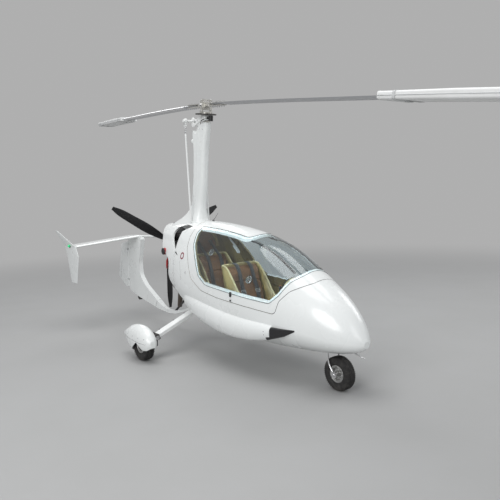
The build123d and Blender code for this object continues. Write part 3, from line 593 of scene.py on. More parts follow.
M = {
    "white": gelcoat("white_gelcoat").done(),
    "shell": shell_skin("shell_gelcoat", (0.27, 0.205, 0.08), (0.35, 0.275, 0.115), 0.16),
    "upper": gelcoat("white_gelcoat_upper", 0.06).done(),
    # Painted shade: the canopy's inside faces get a darker copy of the shell's lining
    "canopy": shell_skin("canopy_gelcoat_shaded_lining", (0.15, 0.115, 0.05), (0.20, 0.16, 0.075), 0.1),
    # Painted shade: the bulkhead gets a darker copy of the yellow laminate
    "lining": kevlar("bulkhead_laminate_shaded", (0.16, 0.115, 0.045), (0.22, 0.165, 0.07)),
    "leather": layered("seat_leather", (0.235, 0.105, 0.038), 0.48,
                       [((7, 5), 0.35, 0.7, (0.150, 0.066, 0.025)),
                        ((16, 6, 0.7), 0.58, 0.74, (0.26, 0.16, 0.085), 0.5)],
                       [((22, 5), 0.0012)], [(330, -0.00035), (120, -0.0003)],
                       ((14, 5), 0.42, 0.62), Coat_Weight=0.08).done(),
    "rubber": rubber("tyre_rubber"),
    "blade": metal("blade_aluminium", (0.50, 0.51, 0.53), 0.34, (0.2, 4, 4), 90),
    "machined": metal("machined_alloy", (0.70, 0.69, 0.65), 0.36, (1, 1, 6), 70),
    "cast": metal("cast_alloy", (0.58, 0.58, 0.57), 0.46, wear=(0.1, 0.09, 0.08), amount=0.5),
    "steel": metal("bright_steel", (0.78, 0.78, 0.79), 0.20, amount=0.12),
    "dark_steel": painted("black_steel", (0.008, 0.008, 0.009), 0.45, chips=0.05),
    "gear": metal("gear_steel", (0.16, 0.155, 0.15), 0.42),
    "white_paint": painted("white_paint", (0.84, 0.85, 0.84), chips=0.02),
    "carbon": carbon("pod_carbon", (0.008, 0.008, 0.009)),
    "prop": carbon("prop_carbon", (0.005, 0.005, 0.005), 0.008, 0.5, 1, 0.06),
    "plastic": plastic("black_plastic"),
    "panel": plastic("panel_plastic", (0.03, 0.03, 0.032), 0.7),
    "glass": glass("canopy_plexi", (0.86, 0.93, 0.95)),
    "sleeve": sleeve_cloth(),
    "engine": layered("engine_castings", (0.05, 0.05, 0.052), 0.5,
                      [((12, 6), 0.4, 0.7, (0.16, 0.155, 0.15), 0.7),
                       ((40, 6, 0.8), 0.6, 0.75, (0.05, 0.03, 0.015), 0.5)],
                      [((140, 4), 0.0006)], [(40, 0.002)], metallic=0.6).done(),
    "dial": layered("dial_face", (0.012, 0.012, 0.013), 0.35, [((60, 4), 0.5, 0.8, (0.03, 0.03, 0.032), 0.6)],
                    Coat_Weight=1.0, Coat_Roughness=0.03).done(),
    "mark": painted("dial_marks", (0.75, 0.75, 0.72), 0.5),
    "webbing": webbing(),
    "kevlar": kevlar("yellow_laminate", (0.30, 0.210, 0.070), (0.40, 0.300, 0.11)),
    "red": layered("red_filter", (0.45, 0.03, 0.03), 0.5, [((24, 6), 0.4, 0.7, (0.25, 0.018, 0.018), 0.6)],
                   [((90, 4), 0.0005)], Sheen_Weight=0.2).done(),
    "hose": rubber("hose_rubber"),
    "green_lens": lamp_lens("green_lens", (0.03, 0.42, 0.16)),
    "red_lens": lamp_lens("red_lens", (0.5, 0.03, 0.03)),
    "exhaust": layered("heated_steel", (0.16, 0.15, 0.14), 0.42,
                       [((7, 5), 0.4, 0.65, (0.13, 0.095, 0.07), 0.7),
                        ((20, 6, 0.7), 0.5, 0.75, (0.14, 0.12, 0.13), 0.6)],
                       [((60, 4), 0.0004)], rough=((30, 5), 0.3, 0.55), metallic=1.0).done(),
    "rim": kevlar("laminate_rim", (0.62, 0.50, 0.24), (0.70, 0.60, 0.34)),
    "vent": glass("vent_plexi", (0.80, 0.86, 0.88)),
    "pale_webbing": painted("pale_webbing", (0.60, 0.61, 0.61), 0.7, 300, 0.05),
    "thread": painted("seam_thread", (0.20, 0.13, 0.07), 0.7, 300),
    "red_paint": painted("red_paint", (0.25, 0.025, 0.05), 0.35, chips=0.05),
    "seam_white": painted("seam_white", (0.50, 0.51, 0.51), 0.5),
}

NODE_LOOKS = {
    "shell": ["fuselage_shell"],
    "upper": ["engine_cowl", "mast"],
    "canopy": ["canopy_frame"],
    "white": ["tail_boom", "stabiliser", "end_plate_left", "end_plate_right", "rudder", "spat_left",
              "spat_right"],
    "lining": ["cabin_bulkhead"],
    "glass": ["canopy_glass"],
    "leather": ["seat_cushion_front", "seat_cushion_rear", "seat_back_front", "seat_back_rear"],
    "rubber": ["main_tyre_left", "main_tyre_right", "nose_tyre", "tail_bumper"],
    "cast": ["main_rim_left", "main_rim_right", "nose_rim"],
    "blade": ["rotor_blade_fore", "rotor_blade_aft"],
    "sleeve": ["blade_sleeve_fore", "blade_sleeve_aft"],
    "machined": ["rotor_tower", "hub_bar", "rotor_gimbal"],
    "gear": ["spin_up_gear"],
    "white_paint": ["main_gear_bow", "control_rods", "rotor_bearing"],
    "dark_steel": ["axle_left", "axle_right", "canopy_hinges", "canopy_knuckles", "spin_up_drive",
                   "rudder_hinges", "boom_strut"],
    "steel": ["nose_fork", "nose_bearing", "prop_hub"],
    "exhaust": ["exhaust_silencer"],
    "carbon": ["pod_cap_left", "pod_cap_right"],
    "prop": ["prop_blades"],
    "kevlar": ["seat_shell_front", "seat_shell_rear"],
    "plastic": ["control_sticks"],
    "panel": ["instrument_panel"],
    "engine": ["engine"],
}


def dress_nodes():
    for look, names in NODE_LOOKS.items():
        for name in names:
            for slot in NODES[name].material_slots:
                slot.material = M[look]


# Places measured on the skins

SKIN = target("fuselage_shell", "canopy_frame", "canopy_glass", "engine_cowl")
GLASS = target("canopy_glass")
LOOKOUT_Z = 0.75  # height from which rays look for the cabin's inner skin
CLEAR_SIDE, CLEAR_TOP = 1.5, 2.2  # places outside the body from which rays look for its skin


def away(point):
    """Direction out of the cabin at a point of its skin."""
    return Vector((0, point.y, point.z - CABIN_Z)).normalized()


def side_skin(x, z, side, tree=SKIN):
    return struck(tree, (x, side * CLEAR_SIDE, z), (0, -side, 0))


def top_skin(x, y):
    return struck(SKIN, (x, y, CLEAR_TOP), (0, 0, -1))


def inside_skin(x, angle):
    """Point of the cabin's inner skin, looking out from its middle line at an angle above port."""
    return SKIN.ray_cast(Vector((x, 0, LOOKOUT_Z)), spoke(angle))[0]


def skin_line(name, points, radius, look="hose", body="airframe"):
    """Fine seam lying half sunk in a skin."""
    tube(name, points, radius, look, 6, body)


# Canopy: seals, vents, latch and inner bars

def middle(edge):
    return (edge.verts[0].co + edge.verts[1].co) / 2


def faces_out(edge):
    """Whether one of the edge's faces looks away from the cabin's middle line."""
    return max(face.normal.dot(away(middle(edge))) for face in edge.link_faces) > 0.5


def outline_edge(edge):
    """Whether an edge belongs to the canopy's own outline and not to its window."""
    return faces_out(edge) and GLASS.find_nearest(middle(edge))[3] > 0.015


BEAD_R, BEAD_STEP = 0.0024, 0.014
SEAL_R, SEAL_STEP, SEAL_SUNK = 0.0048, 0.016, 0.0052


def canopy_seals():
    bead, seal = bmesh.new(), bmesh.new()
    for run in sharp_runs("canopy_glass", faces_out):
        add_tube(bead, even(run, BEAD_STEP), BEAD_R, 8)
    for run in sharp_runs("canopy_frame", outline_edge):
        add_tube(seal, [p - away(p) * SEAL_SUNK for p in even(run, SEAL_STEP)], SEAL_R, 8)
    link("window_bead", bead, "hose", "canopy")
    link("canopy_seal", seal, "hose", "canopy")


VENTS = [(0.46, 1.14), (1.12, 0.93)]
VENT_R = 0.040
VENT_INNER = VENT_R - 0.006
VENT_RIM = [(VENT_INNER, -0.002), (VENT_R, -0.002), (VENT_R, 0.002), (VENT_R - 0.002, 0.005),
            (VENT_INNER, 0.004)]
VENT_PANE = band(CORE, VENT_INNER, 0.001, 0.003)
VENT_KNOB = [(CORE, 0), (0.005, 0), (0.005, 0.006), (0.003, 0.008), (CORE, 0.008)]


def add_scoop(bm, place):
    """Quarter of a flattened ball, cut level with the pane and upright in front."""
    scoop = bmesh.new()
    bmesh.ops.create_uvsphere(scoop, u_segments=24, v_segments=16, radius=VENT_R * 0.72,
                              matrix=place @ Matrix.Diagonal((1, 1, 0.62, 1)))
    for point, normal in (((0, 0, 0.003), (0, 0, -1)), ((0.006, 0, 0), (1, 0, 0))):
        bmesh.ops.bisect_plane(scoop, geom=scoop.verts[:] + scoop.edges[:] + scoop.faces[:],
                               plane_co=place @ Vector(point), plane_no=place.to_3x3() @ Vector(normal),
                               clear_outer=True)
    mesh = bpy.data.meshes.new("scoop")
    scoop.to_mesh(mesh)
    scoop.free()
    bm.from_mesh(mesh)
    bpy.data.meshes.remove(mesh)


def window_vents():
    """Round turning scoop vents let into the side glass."""
    for side, tag in SIDES:
        rings, hoods, knobs = bmesh.new(), bmesh.new(), bmesh.new()
        for x, z in VENTS:
            place = facing(*side_skin(x, z, side, GLASS))
            add_lathe(rings, VENT_RIM, place, 48)
            add_lathe(rings, VENT_PANE, place, 48)
            add_scoop(hoods, place)
            add_lathe(knobs, VENT_KNOB, place @ shift(0.014, 0, 0.003), 16)
        link("vent_rings_" + tag, rings, "vent", "canopy")
        wall(link("vent_hoods_" + tag, hoods, "vent", "canopy"), 0.0018)
        link("vent_knobs_" + tag, knobs, "plastic", "canopy")


def screen_bars():
    """Dark bars under the windscreen, from the roof strip down to the nose."""
    rear, strip_end = 0.84, 0.95
    for side, tag in SIDES:
        path = []
        for k in range(15):
            x = rear + 0.05 * k
            point, normal = top_skin(x, side * (0.148 + 0.028 * (x - rear)))
            path.append(point - normal * (0.030 if x < strip_end else 0.016))
        bm = bmesh.new()
        add_strap(bm, path, 0.026, 0.014)
        hard("screen_bar_" + tag, bm, "dark_steel", 0.004, body="canopy")


def canopy_latch():
    """Small black lever with its keeper on the starboard frame."""
    x, z, keeper_z = 0.894, 0.772, 0.712
    place = facing(*side_skin(x, z, -1))
    bm = bmesh.new()
    add_prism(bm, [(u, v * 25 / 15 - 0.002) for u, v in circle(0.015, 28)], place, 0.003)
    lever = [(-0.008, -0.024), (0.008, -0.024), (0.012, 0.014), (0.006, 0.022), (-0.006, 0.022),
             (-0.012, 0.014)]
    add_prism(bm, lever, place @ shift(0, 0, 0.004), 0.009)
    add_lathe(bm, [(CORE, 0.003), (0.009, 0.003), (0.009, 0.016), (0.006, 0.018), (CORE, 0.018)],
              place @ shift(0, 0.010, 0), 20)
    hard("canopy_latch", bm, "plastic", 0.0014, body="canopy")
    bm = bmesh.new()
    add_prism(bm, oblong(0.011, 0.008), facing(*side_skin(x, keeper_z, -1)), 0.005)
    hard("latch_keeper", bm, "plastic", 0.0012)


def grab_strap():
    """Pale webbing loop hanging from the roof strip over the front seat."""
    top = Vector((0.276, 0, top_skin(0.276, 0)[0].z - 0.027))
    path = spline_points([top, (0.33, 0, 1.262), (0.42, 0, 1.185), (0.478, 0, 1.128), (0.488, 0, 1.104),
                          (0.470, 0, 1.106), (0.455, 0, 1.126), (0.40, 0, 1.180)], 6)
    bm = bmesh.new()
    add_strap(bm, path, 0.026, 0.003)
    bevel(link("grab_strap", bm, "pale_webbing", "canopy"), 0.0008, 1)
    bm = bmesh.new()
    add_block(bm, (top.x + 0.004, 0, top.z - 0.003), (0.036, 0.040, 0.008))
    hard("grab_strap_anchor", bm, "plastic", 0.002, body="canopy")


def roof_antenna():
    base, normal = top_skin(0.031, 0)
    bm = bmesh.new()
    add_lathe(bm, [(CORE, -0.002), (0.014, -0.002), (0.014, 0.003), (0.007, 0.012), (CORE, 0.014)],
              facing(base, normal), 28)
    add_tube(bm, [base + normal * 0.008, Vector((0.075, 0, 1.474)), Vector((0.127, 0, 1.523))],
             lambda t: 0.0028 - 0.0014 * t, 10)
    link("roof_antenna", bm, "plastic", "canopy")


# Cabin

def add_hood(name, rows, look, lip_radius, lip_look):
    """Thin laminate hood over rows of points, its rear row rolled into a lip."""
    bm = bmesh.new()
    add_rows(bm, rows, closed=False, caps=False)
    wall(link(name, bm, look), 0.003)
    tube(name + "_lip", rows[0], lip_radius, lip_look, 10)


HOOD_REAR, HOOD_RISE, HOOD_FRONT = 1.485, 0.105, 1.70
LIP_GAP, LINING_GAP = 0.036, 0.016


def glareshield():
    """Laminate hood lining the nose over the panel, with a rolled rear lip."""
    rows = []
    for k in range(5):
        row = []
        for a in (radians(8 + 164 * n / 40) for n in range(41)):
            rear = HOOD_REAR + HOOD_RISE * sin(a) ** 1.5
            x = rear + (HOOD_FRONT - rear) * k / 4
            row.append(inside_skin(x, a) - spoke(a) * (LIP_GAP if k == 0 else LINING_GAP))
        rows.append(row)
    add_hood("nose_lining", rows, "kevlar", 0.005, "kevlar")


PANEL_FOOT, PANEL_HEAD = Vector((1.400, 0, 0.600)), Vector((1.372, 0, 0.800))
DIALS = [(-0.125, 0.742, 0.040), (0.0, 0.742, 0.044), (0.125, 0.742, 0.040),
         (-0.162, 0.655, 0.026), (-0.095, 0.655, 0.026), (0.095, 0.655, 0.026), (0.162, 0.655, 0.026)]
COVER_REAR, COVER_RAKE, COVER_FRONT = 1.335, 0.13, 1.600
COVER_WIDE, COVER_HIGH, COVER_GAP = 0.240, 0.178, 0.022


def panel_hood():
    """Pale laminate hood over the instrument panel, an ellipse kept off the cabin's skin."""
    rows = []
    for k in range(8):
        row = []
        for a in (pi * n / 32 for n in range(33)):
            rear = COVER_REAR + COVER_RAKE * (1 - sin(a))
            x = rear + (COVER_FRONT - rear) * k / 7
            room = (inside_skin(x, a) - Vector((x, 0, LOOKOUT_Z))).length - COVER_GAP
            ellipse = COVER_WIDE * COVER_HIGH / Vector((COVER_HIGH * cos(a), COVER_WIDE * sin(a))).length
            r = min(room, ellipse)
            row.append(Vector((x, r * cos(a), LOOKOUT_Z + r * sin(a))))
        rows.append(row)
    add_hood("panel_hood", rows, "rim", 0.006, "plastic")


ARCH_Z = 1.135


def rear_arch():
    """Laminate arch and padded panel on the cabin's rear wall, behind the rear seat."""
    tube("rear_arch", [Vector((-0.163, y, ARCH_Z + z)) for y, z in half_round(0.175, 0.205)], 0.016, "kevlar")
    bm = bmesh.new()
    add_prism(bm, half_round(0.155, 0.185) + [(-0.155, -0.10), (0.155, -0.10)],
              facing((-0.192, 0, ARCH_Z), (1, 0, 0), (0, 1, 0)), 0.016)
    hard("rear_headrest", bm, "leather", 0.007, 3)


def panel_place(y, z):
    """Matrix on the panel's face, z towards the pilot."""
    up = (PANEL_HEAD - PANEL_FOOT).normalized()
    point = PANEL_FOOT + up * ((z - PANEL_FOOT.z) / up.z) + Vector((0, y, 0))
    return facing(point, up.cross(Vector((0, 1, 0))), (0, -1, 0))


def instruments():
    dials()
    switches = bmesh.new()
    for k in range(7):
        place = panel_place(-0.165 + 0.055 * k, 0.612)
        add_lathe(switches, [(PIN, 0), (0.007, 0), (0.007, 0.003), (0.0045, 0.005), (PIN, 0.005)], place, 18)
        add_tube(switches, [place @ Vector((0, 0, 0.003)), place @ Vector((0, 0.005, 0.017))], 0.0022, 8)
    link("panel_switches", switches, "steel")
    radio(panel_place(0, 0.655))
    screws = [(panel_place(y, z).translation, (-1, 0, -0.14))
              for y in (-0.2, 0.2) for z in (0.62, 0.70, 0.785)]
    fasteners("panel_screws", screws, 0.0035, 0.002)


def dials():
    bezel, face, marks, lens = bmesh.new(), bmesh.new(), bmesh.new(), bmesh.new()
    for k, (y, z, r) in enumerate(DIALS):
        place = panel_place(y, z)
        inner, pane = r * 0.84, r * 0.85
        add_lathe(bezel, [(inner, -0.001), (r, -0.001), (r, 0.006), (r * 0.93, 0.009), (inner, 0.006)],
                  place, 40)
        add_lathe(face, band(PIN, pane, 0.0, 0.001), place, 40)
        for tick in range(12):
            turn = place @ spin(tick * pi / 6) @ shift(r * 0.70, 0, 0.001)
            add_block(marks, (0, 0, 0.0004), (r * (0.12 if tick % 3 else 0.20), r * 0.035, 0.0008), turn)
        hand = place @ spin(radians(200 - 47 * k)) @ shift(r * 0.28, 0, 0.002)
        add_block(marks, (0, 0, 0), (r * 0.74, r * 0.05, 0.0008), hand)
        add_lathe(lens, band(PIN, pane, 0.0045, 0.0052), place, 40)
    link("dial_bezels", bezel, "plastic")
    link("dial_faces", face, "dial")
    link("dial_marks", marks, "mark", smooth=False)
    link("dial_lenses", lens, "vent")


def radio(place):
    """Case, screen and knobs in the panel's middle."""
    case, screen, knobs = bmesh.new(), bmesh.new(), bmesh.new()
    thick = 0.006
    add_prism(case, oblong(0.052, 0.028), place, thick)
    hard("radio_case", case, "plastic", 0.003)
    add_prism(screen, [(-0.040, -0.012), (0.024, -0.012), (0.024, 0.016), (-0.040, 0.016)],
              place @ shift(0, 0, thick), 0.0012)
    link("radio_screen", screen, "dial", smooth=False)
    for x, y, r in ((0.039, 0.010, 0.008), (0.039, -0.014, 0.008), (-0.024, -0.021, 0.004),
                    (0.0, -0.021, 0.004), (0.022, -0.021, 0.004)):
        add_lathe(knobs, [(PIN, 0), (r, 0), (r * 0.9, 0.010), (PIN, 0.011)], place @ shift(x, y, thick), 20)
    link("radio_knobs", knobs, "panel")


STICKS_X, STICK_Z = (1.210, 0.535), 0.300


def cabin_controls():
    """Stick grips, rudder pedals and the throttle quadrant on the port side."""
    grips, buttons = bmesh.new(), bmesh.new()
    up = Vector((-0.12, 0, 1)).normalized()
    for x in STICKS_X:
        foot = Vector((x, 0, STICK_Z)) + up * 0.405
        path = [foot + up * (0.118 * k / 12) for k in range(13)]
        add_tube(grips, path, lambda t: 0.0195 + 0.0022 * sin(t * 6 * pi) - 0.003 * t, 20)
        add_ball(grips, path[-1], 0.0175, 0.6)
        add_tube(grips, [Vector((x, 0, STICK_Z + 0.02)) + up * (0.012 * k) for k in range(9)],
                 lambda t: 0.034 - 0.018 * t + 0.003 * cos(t * 8 * pi), 20)
        for dy in (-0.007, 0.007):
            add_lathe(buttons, [(PIN, 0), (0.0045, 0), (0.004, 0.004), (PIN, 0.0045)],
                      facing(path[-1] + Vector((-0.002, dy, 0.009)), up), 14)
    link("stick_grips", grips, "plastic")
    link("stick_buttons", buttons, "red")
    pedals, treads = bmesh.new(), bmesh.new()
    for y in (-0.13, -0.055, 0.055, 0.13):
        add_tube(pedals, spline_points([(1.66, y, 0.36), (1.655, y, 0.45), (1.63, y, 0.52)], 5), 0.008, 10)
        place = facing((1.628, y, 0.515), (-1, 0, 0.35), (0, 1, 0))
        add_prism(treads, oblong(0.030, 0.045), place, 0.005)
        for k in range(5):
            add_block(treads, (0, -0.032 + 0.016 * k, 0.0065), (0.050, 0.005, 0.004), place)
    link("pedal_arms", pedals, "steel")
    hard("pedal_treads", treads, "hose", 0.0012, 1)
    throttles(0.285)


def throttles(y):
    """Throttle and brake levers beside each seat."""
    quadrant, knobs = bmesh.new(), bmesh.new()
    for x in (1.02, 0.36):
        add_block(quadrant, (x, y, 0.52), (0.16, 0.045, 0.09))
        for dx, lean in ((-0.035, (-0.02, -0.01, 0.10)), (0.02, (0.01, 0.01, 0.10))):
            foot = Vector((x + dx, y, 0.56))
            tip = foot + Vector(lean)
            add_tube(quadrant, [foot, tip], 0.005, 10)
            add_ball(knobs, tip, 0.017, 1.15)
    hard("throttle_quadrants", quadrant, "panel", 0.006)
    link("throttle_knobs", knobs, "plastic")


# Seats: soft pads, laminate wings and harness

PADS = [
    # node, seams across (y), seam along the profile (height or length fraction), swell in metres
    ("seat_cushion_front", 0.088, 0.50, 0.014),
    ("seat_back_front", 0.088, 0.72, 0.016),
    ("seat_cushion_rear", 0.084, 0.50, 0.014),
    ("seat_back_rear", 0.084, 0.72, 0.016),
]
PAD_VOXEL = 0.006
CLOTH_FRAMES, CLOTH_PRESSURE, CLOTH_STIFFNESS = 20, 4.0, 8.0
SEAM_DEPTH, SEAM_WIDE = 0.0075, 0.011
STITCH_GAP, STITCH_PITCH, STITCH_LONG = 0.012, 0.009, 0.0055


def apply_modifier(piece, name):
    bpy.context.view_layer.objects.active = piece
    with bpy.context.temp_override(object=piece, active_object=piece, selected_objects=[piece]):
        bpy.ops.object.modifier_apply(modifier=name)


def swell(piece, back, cap):
    """Blows the pad up with cloth pressure, its resting face held, and caps how far it moves."""
    before = [v.co.copy() for v in piece.data.vertices]
    held_group = piece.vertex_groups.new(name="held")
    for poly in piece.data.polygons:
        if poly.normal.dot(back) > 0.8:
            held_group.add(list(poly.vertices), 1.0, "REPLACE")
    cloth = piece.modifiers.new("cloth", "CLOTH")
    cloth.settings.vertex_group_mass = "held"
    cloth.settings.use_pressure = True
    cloth.settings.uniform_pressure_force = CLOTH_PRESSURE
    cloth.settings.tension_stiffness = CLOTH_STIFFNESS
    cloth.settings.compression_stiffness = CLOTH_STIFFNESS
    cloth.settings.effector_weights.gravity = 0.0
    cloth.point_cache.frame_start = 1
    cloth.point_cache.frame_end = CLOTH_FRAMES
    for number in range(1, CLOTH_FRAMES + 1):
        bpy.context.scene.frame_set(number)
    apply_modifier(piece, "cloth")
    bpy.context.scene.frame_set(1)
    for vert, start in zip(piece.data.vertices, before):
        moved = vert.co - start
        if moved.length > cap:
            vert.co = start + moved.normalized() * cap


def pad_copy(node, centre):
    """Evenly meshed copy of a CAD pad, a little narrower."""
    mesh = NODES[node].data.copy()
    piece = show(node + "_pad", mesh)
    for vert in mesh.vertices:
        vert.co.y = centre.y + (vert.co.y - centre.y) * 0.985
    remesh = piece.modifiers.new("remesh", "REMESH")
    remesh.mode = "VOXEL"
    remesh.voxel_size = PAD_VOXEL
    apply_modifier(piece, "remesh")
    return piece


def press_seams(piece, front, seam_y, along, seam_at):
    """Sinks the sewn channels into the pad's front."""
    for vert in piece.data.vertices:
        gap = min(abs(abs(vert.co.y) - seam_y), abs(vert.co[along] - seam_at))
        depth = max(0.0, 1 - gap / SEAM_WIDE)
        if vert.normal.dot(front) > 0.3:
            vert.co -= front * SEAM_DEPTH * (1 - (1 - depth) ** 2)


def soft_pads():
    for node, seam_y, seam_part, cap in PADS:
        low, high, centre = box_of(node)
        piece = pad_copy(node, centre)
        leans = "back" in node
        front = Vector((0.96, 0, 0.26)) if leans else Vector((0, 0, 1))
        along = 2 if leans else 0
        swell(piece, -front, cap)
        press_seams(piece, front, seam_y, along, low[along] + (high[along] - low[along]) * seam_part)
        for poly in piece.data.polygons:
            poly.use_smooth = True
        smooth = piece.modifiers.new("round", "SUBSURF")
        smooth.levels = smooth.render_levels = 1
        piece.data.materials.clear()
        piece.data.materials.append(M["leather"])
        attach(piece, "airframe")
        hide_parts(node)
        stitches(node, low, high, seam_y, front, along, piece)


def stitches(node, low, high, seam_y, front, along, pad):
    """Rows of thread each side of the pad's long seams."""
    surface = BVHTree.FromPolygons([v.co.copy() for v in pad.data.vertices],
                                   [list(p.vertices) for p in pad.data.polygons])
    bm = bmesh.new()
    step = Vector((0, 0, 0))
    step[along] = STITCH_LONG
    margin = 0.035
    count = int((high[along] - low[along] - 2 * margin) / STITCH_PITCH)
    for y in (-seam_y - STITCH_GAP, -seam_y + STITCH_GAP, seam_y - STITCH_GAP, seam_y + STITCH_GAP):
        for k in range(count):
            start = Vector((0, y, 0))
            start[along] = low[along] + margin + STITCH_PITCH * k
            start[2 - along] = (low[2 - along] + high[2 - along]) / 2
            point, normal, _, _ = surface.ray_cast(start + front * 0.4, -front)
            if point is None:
                continue
            tangent = step - normal * step.dot(normal)
            point = point + normal * 0.0006
            add_tube(bm, [point, point + tangent], 0.0009, 5)
    link(node + "_stitches", bm, "thread")


WINGS = [
    # name, half width, rim from the headrest down to the thigh, lower line back up
    ("front", 0.2075, [(0.478, 0.992), (0.560, 0.968), (0.655, 0.862), (0.740, 0.752), (0.822, 0.664),
                       (0.930, 0.592), (1.070, 0.536)], [(1.085, 0.436), (0.655, 0.418), (0.462, 0.984)]),
    ("rear", 0.1975, [(-0.082, 1.066), (-0.004, 1.040), (0.092, 0.925), (0.172, 0.800), (0.252, 0.700),
                      (0.350, 0.625), (0.468, 0.566)], [(0.480, 0.456), (0.096, 0.440), (-0.104, 1.058)]),
]
WING_T, RIM_R = 0.008, 0.009


def seat_wings():
    """Laminate side wings of the seat shells, with a rolled rim."""
    for name, half, rim, lower in WINGS:
        curve = [(p.x, p.y) for p in spline_points(rim, 6)]
        for side, tag in SIDES:
            bm = bmesh.new()
            add_prism(bm, curve + lower, facing((0, side * half + WING_T / 2, 0), (0, -1, 0)), WING_T)
            link("seat_wing_" + name + "_" + tag, bm, "kevlar")
        bm = bmesh.new()
        for side in (-1, 1):
            add_tube(bm, [Vector((x, side * half, z)) for x, z in curve], RIM_R)
        top_x, top_z = rim[0]
        add_tube(bm, [Vector((top_x, half * k / 6, top_z)) for k in range(-6, 7)], RIM_R)
        link("seat_rim_" + name, bm, "rim")


BELTS = [
    # name, shoulder strap route (x, y share, z), lap belt start, buckle
    ("front", [(0.446, 1.0, 0.900), (0.456, 1.0, 0.975), (0.492, 1.0, 1.004), (0.556, 1.0, 0.985),
               (0.606, 1.0, 0.900), (0.662, 1.0, 0.720), (0.706, 0.9, 0.575), (0.745, 0.6, 0.528),
               (0.800, 0.12, 0.530)], (0.690, 0.185, 0.485), (0.800, 0.0, 0.530)),
    ("rear", [(-0.190, 1.0, 1.215), (-0.120, 1.0, 1.145), (-0.040, 1.0, 1.077), (0.018, 1.0, 1.035),
              (0.075, 1.0, 0.890), (0.120, 1.0, 0.720), (0.156, 0.9, 0.588), (0.195, 0.6, 0.548),
              (0.250, 0.12, 0.548)], (0.135, 0.175, 0.505), (0.250, 0.0, 0.548)),
]
BELT_Y, BELT_W, BELT_T = 0.082, 0.045, 0.0022


def add_adjuster(bm, path):
    """Ladder buckle lying on a shoulder strap."""
    iron = path[int(len(path) * 0.62)]
    lean = (path[int(len(path) * 0.66)] - iron).normalized()
    place = facing(iron + Vector((0.004, 0, 0.003)), Vector((0, 1, 0)).cross(lean), (0, 1, 0))
    for edge in (-0.016, 0.0, 0.016):
        add_block(bm, (0, edge, 0.001), (0.058, 0.005, 0.004), place)
    for edge in (-0.0265, 0.0265):
        add_block(bm, (edge, 0, 0.001), (0.005, 0.036, 0.004), place)


def harness():
    for name, route, (lap_x, lap_y, lap_z), centre in BELTS:
        webs, irons, buckle = bmesh.new(), bmesh.new(), bmesh.new()
        for side in (-1, 1):
            path = spline_points([(x, side * BELT_Y * share, z) for x, share, z in route], 5)
            add_strap(webs, path, BELT_W, BELT_T)
            lap_path = [(lap_x, side * lap_y, lap_z),
                        ((lap_x + centre[0]) / 2, side * 0.115, centre[2] - 0.002), centre]
            add_strap(webs, spline_points(lap_path, 6), BELT_W, BELT_T, (1, 0, 0.2))
            add_adjuster(irons, path)
        bevel(link("harness_webs_" + name, webs, "webbing"), 0.0006, 1)
        hard("harness_adjusters_" + name, irons, "steel", 0.0014)
        place = shift(*centre) @ shift(0, 0, 0.002)
        add_lathe(buckle, [(CORE, 0), (0.030, 0), (0.031, 0.008), (0.026, 0.014), (CORE, 0.015)], place, 36)
        add_block(buckle, (0, 0, 0.018), (0.050, 0.012, 0.006), place)
        bevel(link("harness_buckle_" + name, buckle, "steel"), 0.0012)


# Wheels

def tyre_profile(bore, outer, width):
    """Closed section of a tyre: bead, bulging wall, round shoulder and a tread with four grooves."""
    half, crown, groove = width / 2, 0.0045, 0.006
    side = [(bore, 0.64), (bore + 0.010, 0.80), (bore + 0.022, 0.94), (bore + 0.036, 0.995),
            (outer - 0.034, 0.99), (outer - 0.018, 0.93), (outer - 0.0075, 0.80)]
    for g in (0.56, 0.19):
        edge = outer - crown * g * g
        side += [(edge, g + 0.075), (outer - groove, g + 0.05), (outer - groove, g - 0.05), (edge, g - 0.075)]
    return [(r, -half * share) for r, share in side] + [(r, half * share) for r, share in reversed(side)]


WHEELS = [
    # tyre node, rim node, body, bore radius, outer radius, width, side facing out
    ("main_tyre_left", "main_rim_left", "main_wheel_left", 0.0785, 0.168, 0.105, 1),
    ("main_tyre_right", "main_rim_right", "main_wheel_right", 0.0785, 0.168, 0.105, -1),
    ("nose_tyre", "nose_rim", "nose_wheel", 0.0685, 0.150, 0.098, -1),
]
LUGS = 48


def wheel_detail():
    for tyre, rim, body, bore, outer, width, side in WHEELS:
        place = facing(box_of(tyre)[2], (0, side, 0))
        bm = bmesh.new()
        add_lathe(bm, tyre_profile(bore, outer, width), place, 96)
        for k in range(LUGS):
            turn = place @ spin(2 * pi * k / LUGS)
            for edge in (-1, 1):
                add_block(bm, (outer - 0.013, 0, edge * width * 0.465), (0.012, 0.004, 0.004), turn)
        piece = link(tyre + "_tread", bm, "rubber", body)
        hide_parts(tyre)
        trim = bmesh.new()
        lip = width * 0.30
        for edge in (-1, 1):
            add_lathe(trim, [(bore - 0.003, edge * lip), (bore + 0.006, edge * (lip + 0.004)),
                             (bore + 0.008, edge * (lip + 0.010)), (bore - 0.002, edge * (lip + 0.006))],
                      place, 64)
        link(rim + "_lips", trim, "cast", body)
        turn = place @ spin(radians(35))
        tube(rim + "_valve", [turn @ Vector((0.052, 0, 0.010)), turn @ Vector((0.056, 0, 0.040))],
             lambda t: 0.0048 - 0.0012 * t, body=body)
        ring = [(place @ Vector((x, y, 0.0102)), (0, side, 0)) for x, y in circle(0.0375, 6, 0.5)]
        fasteners(rim + "_bolts", ring, 0.0042, 0.005, body)


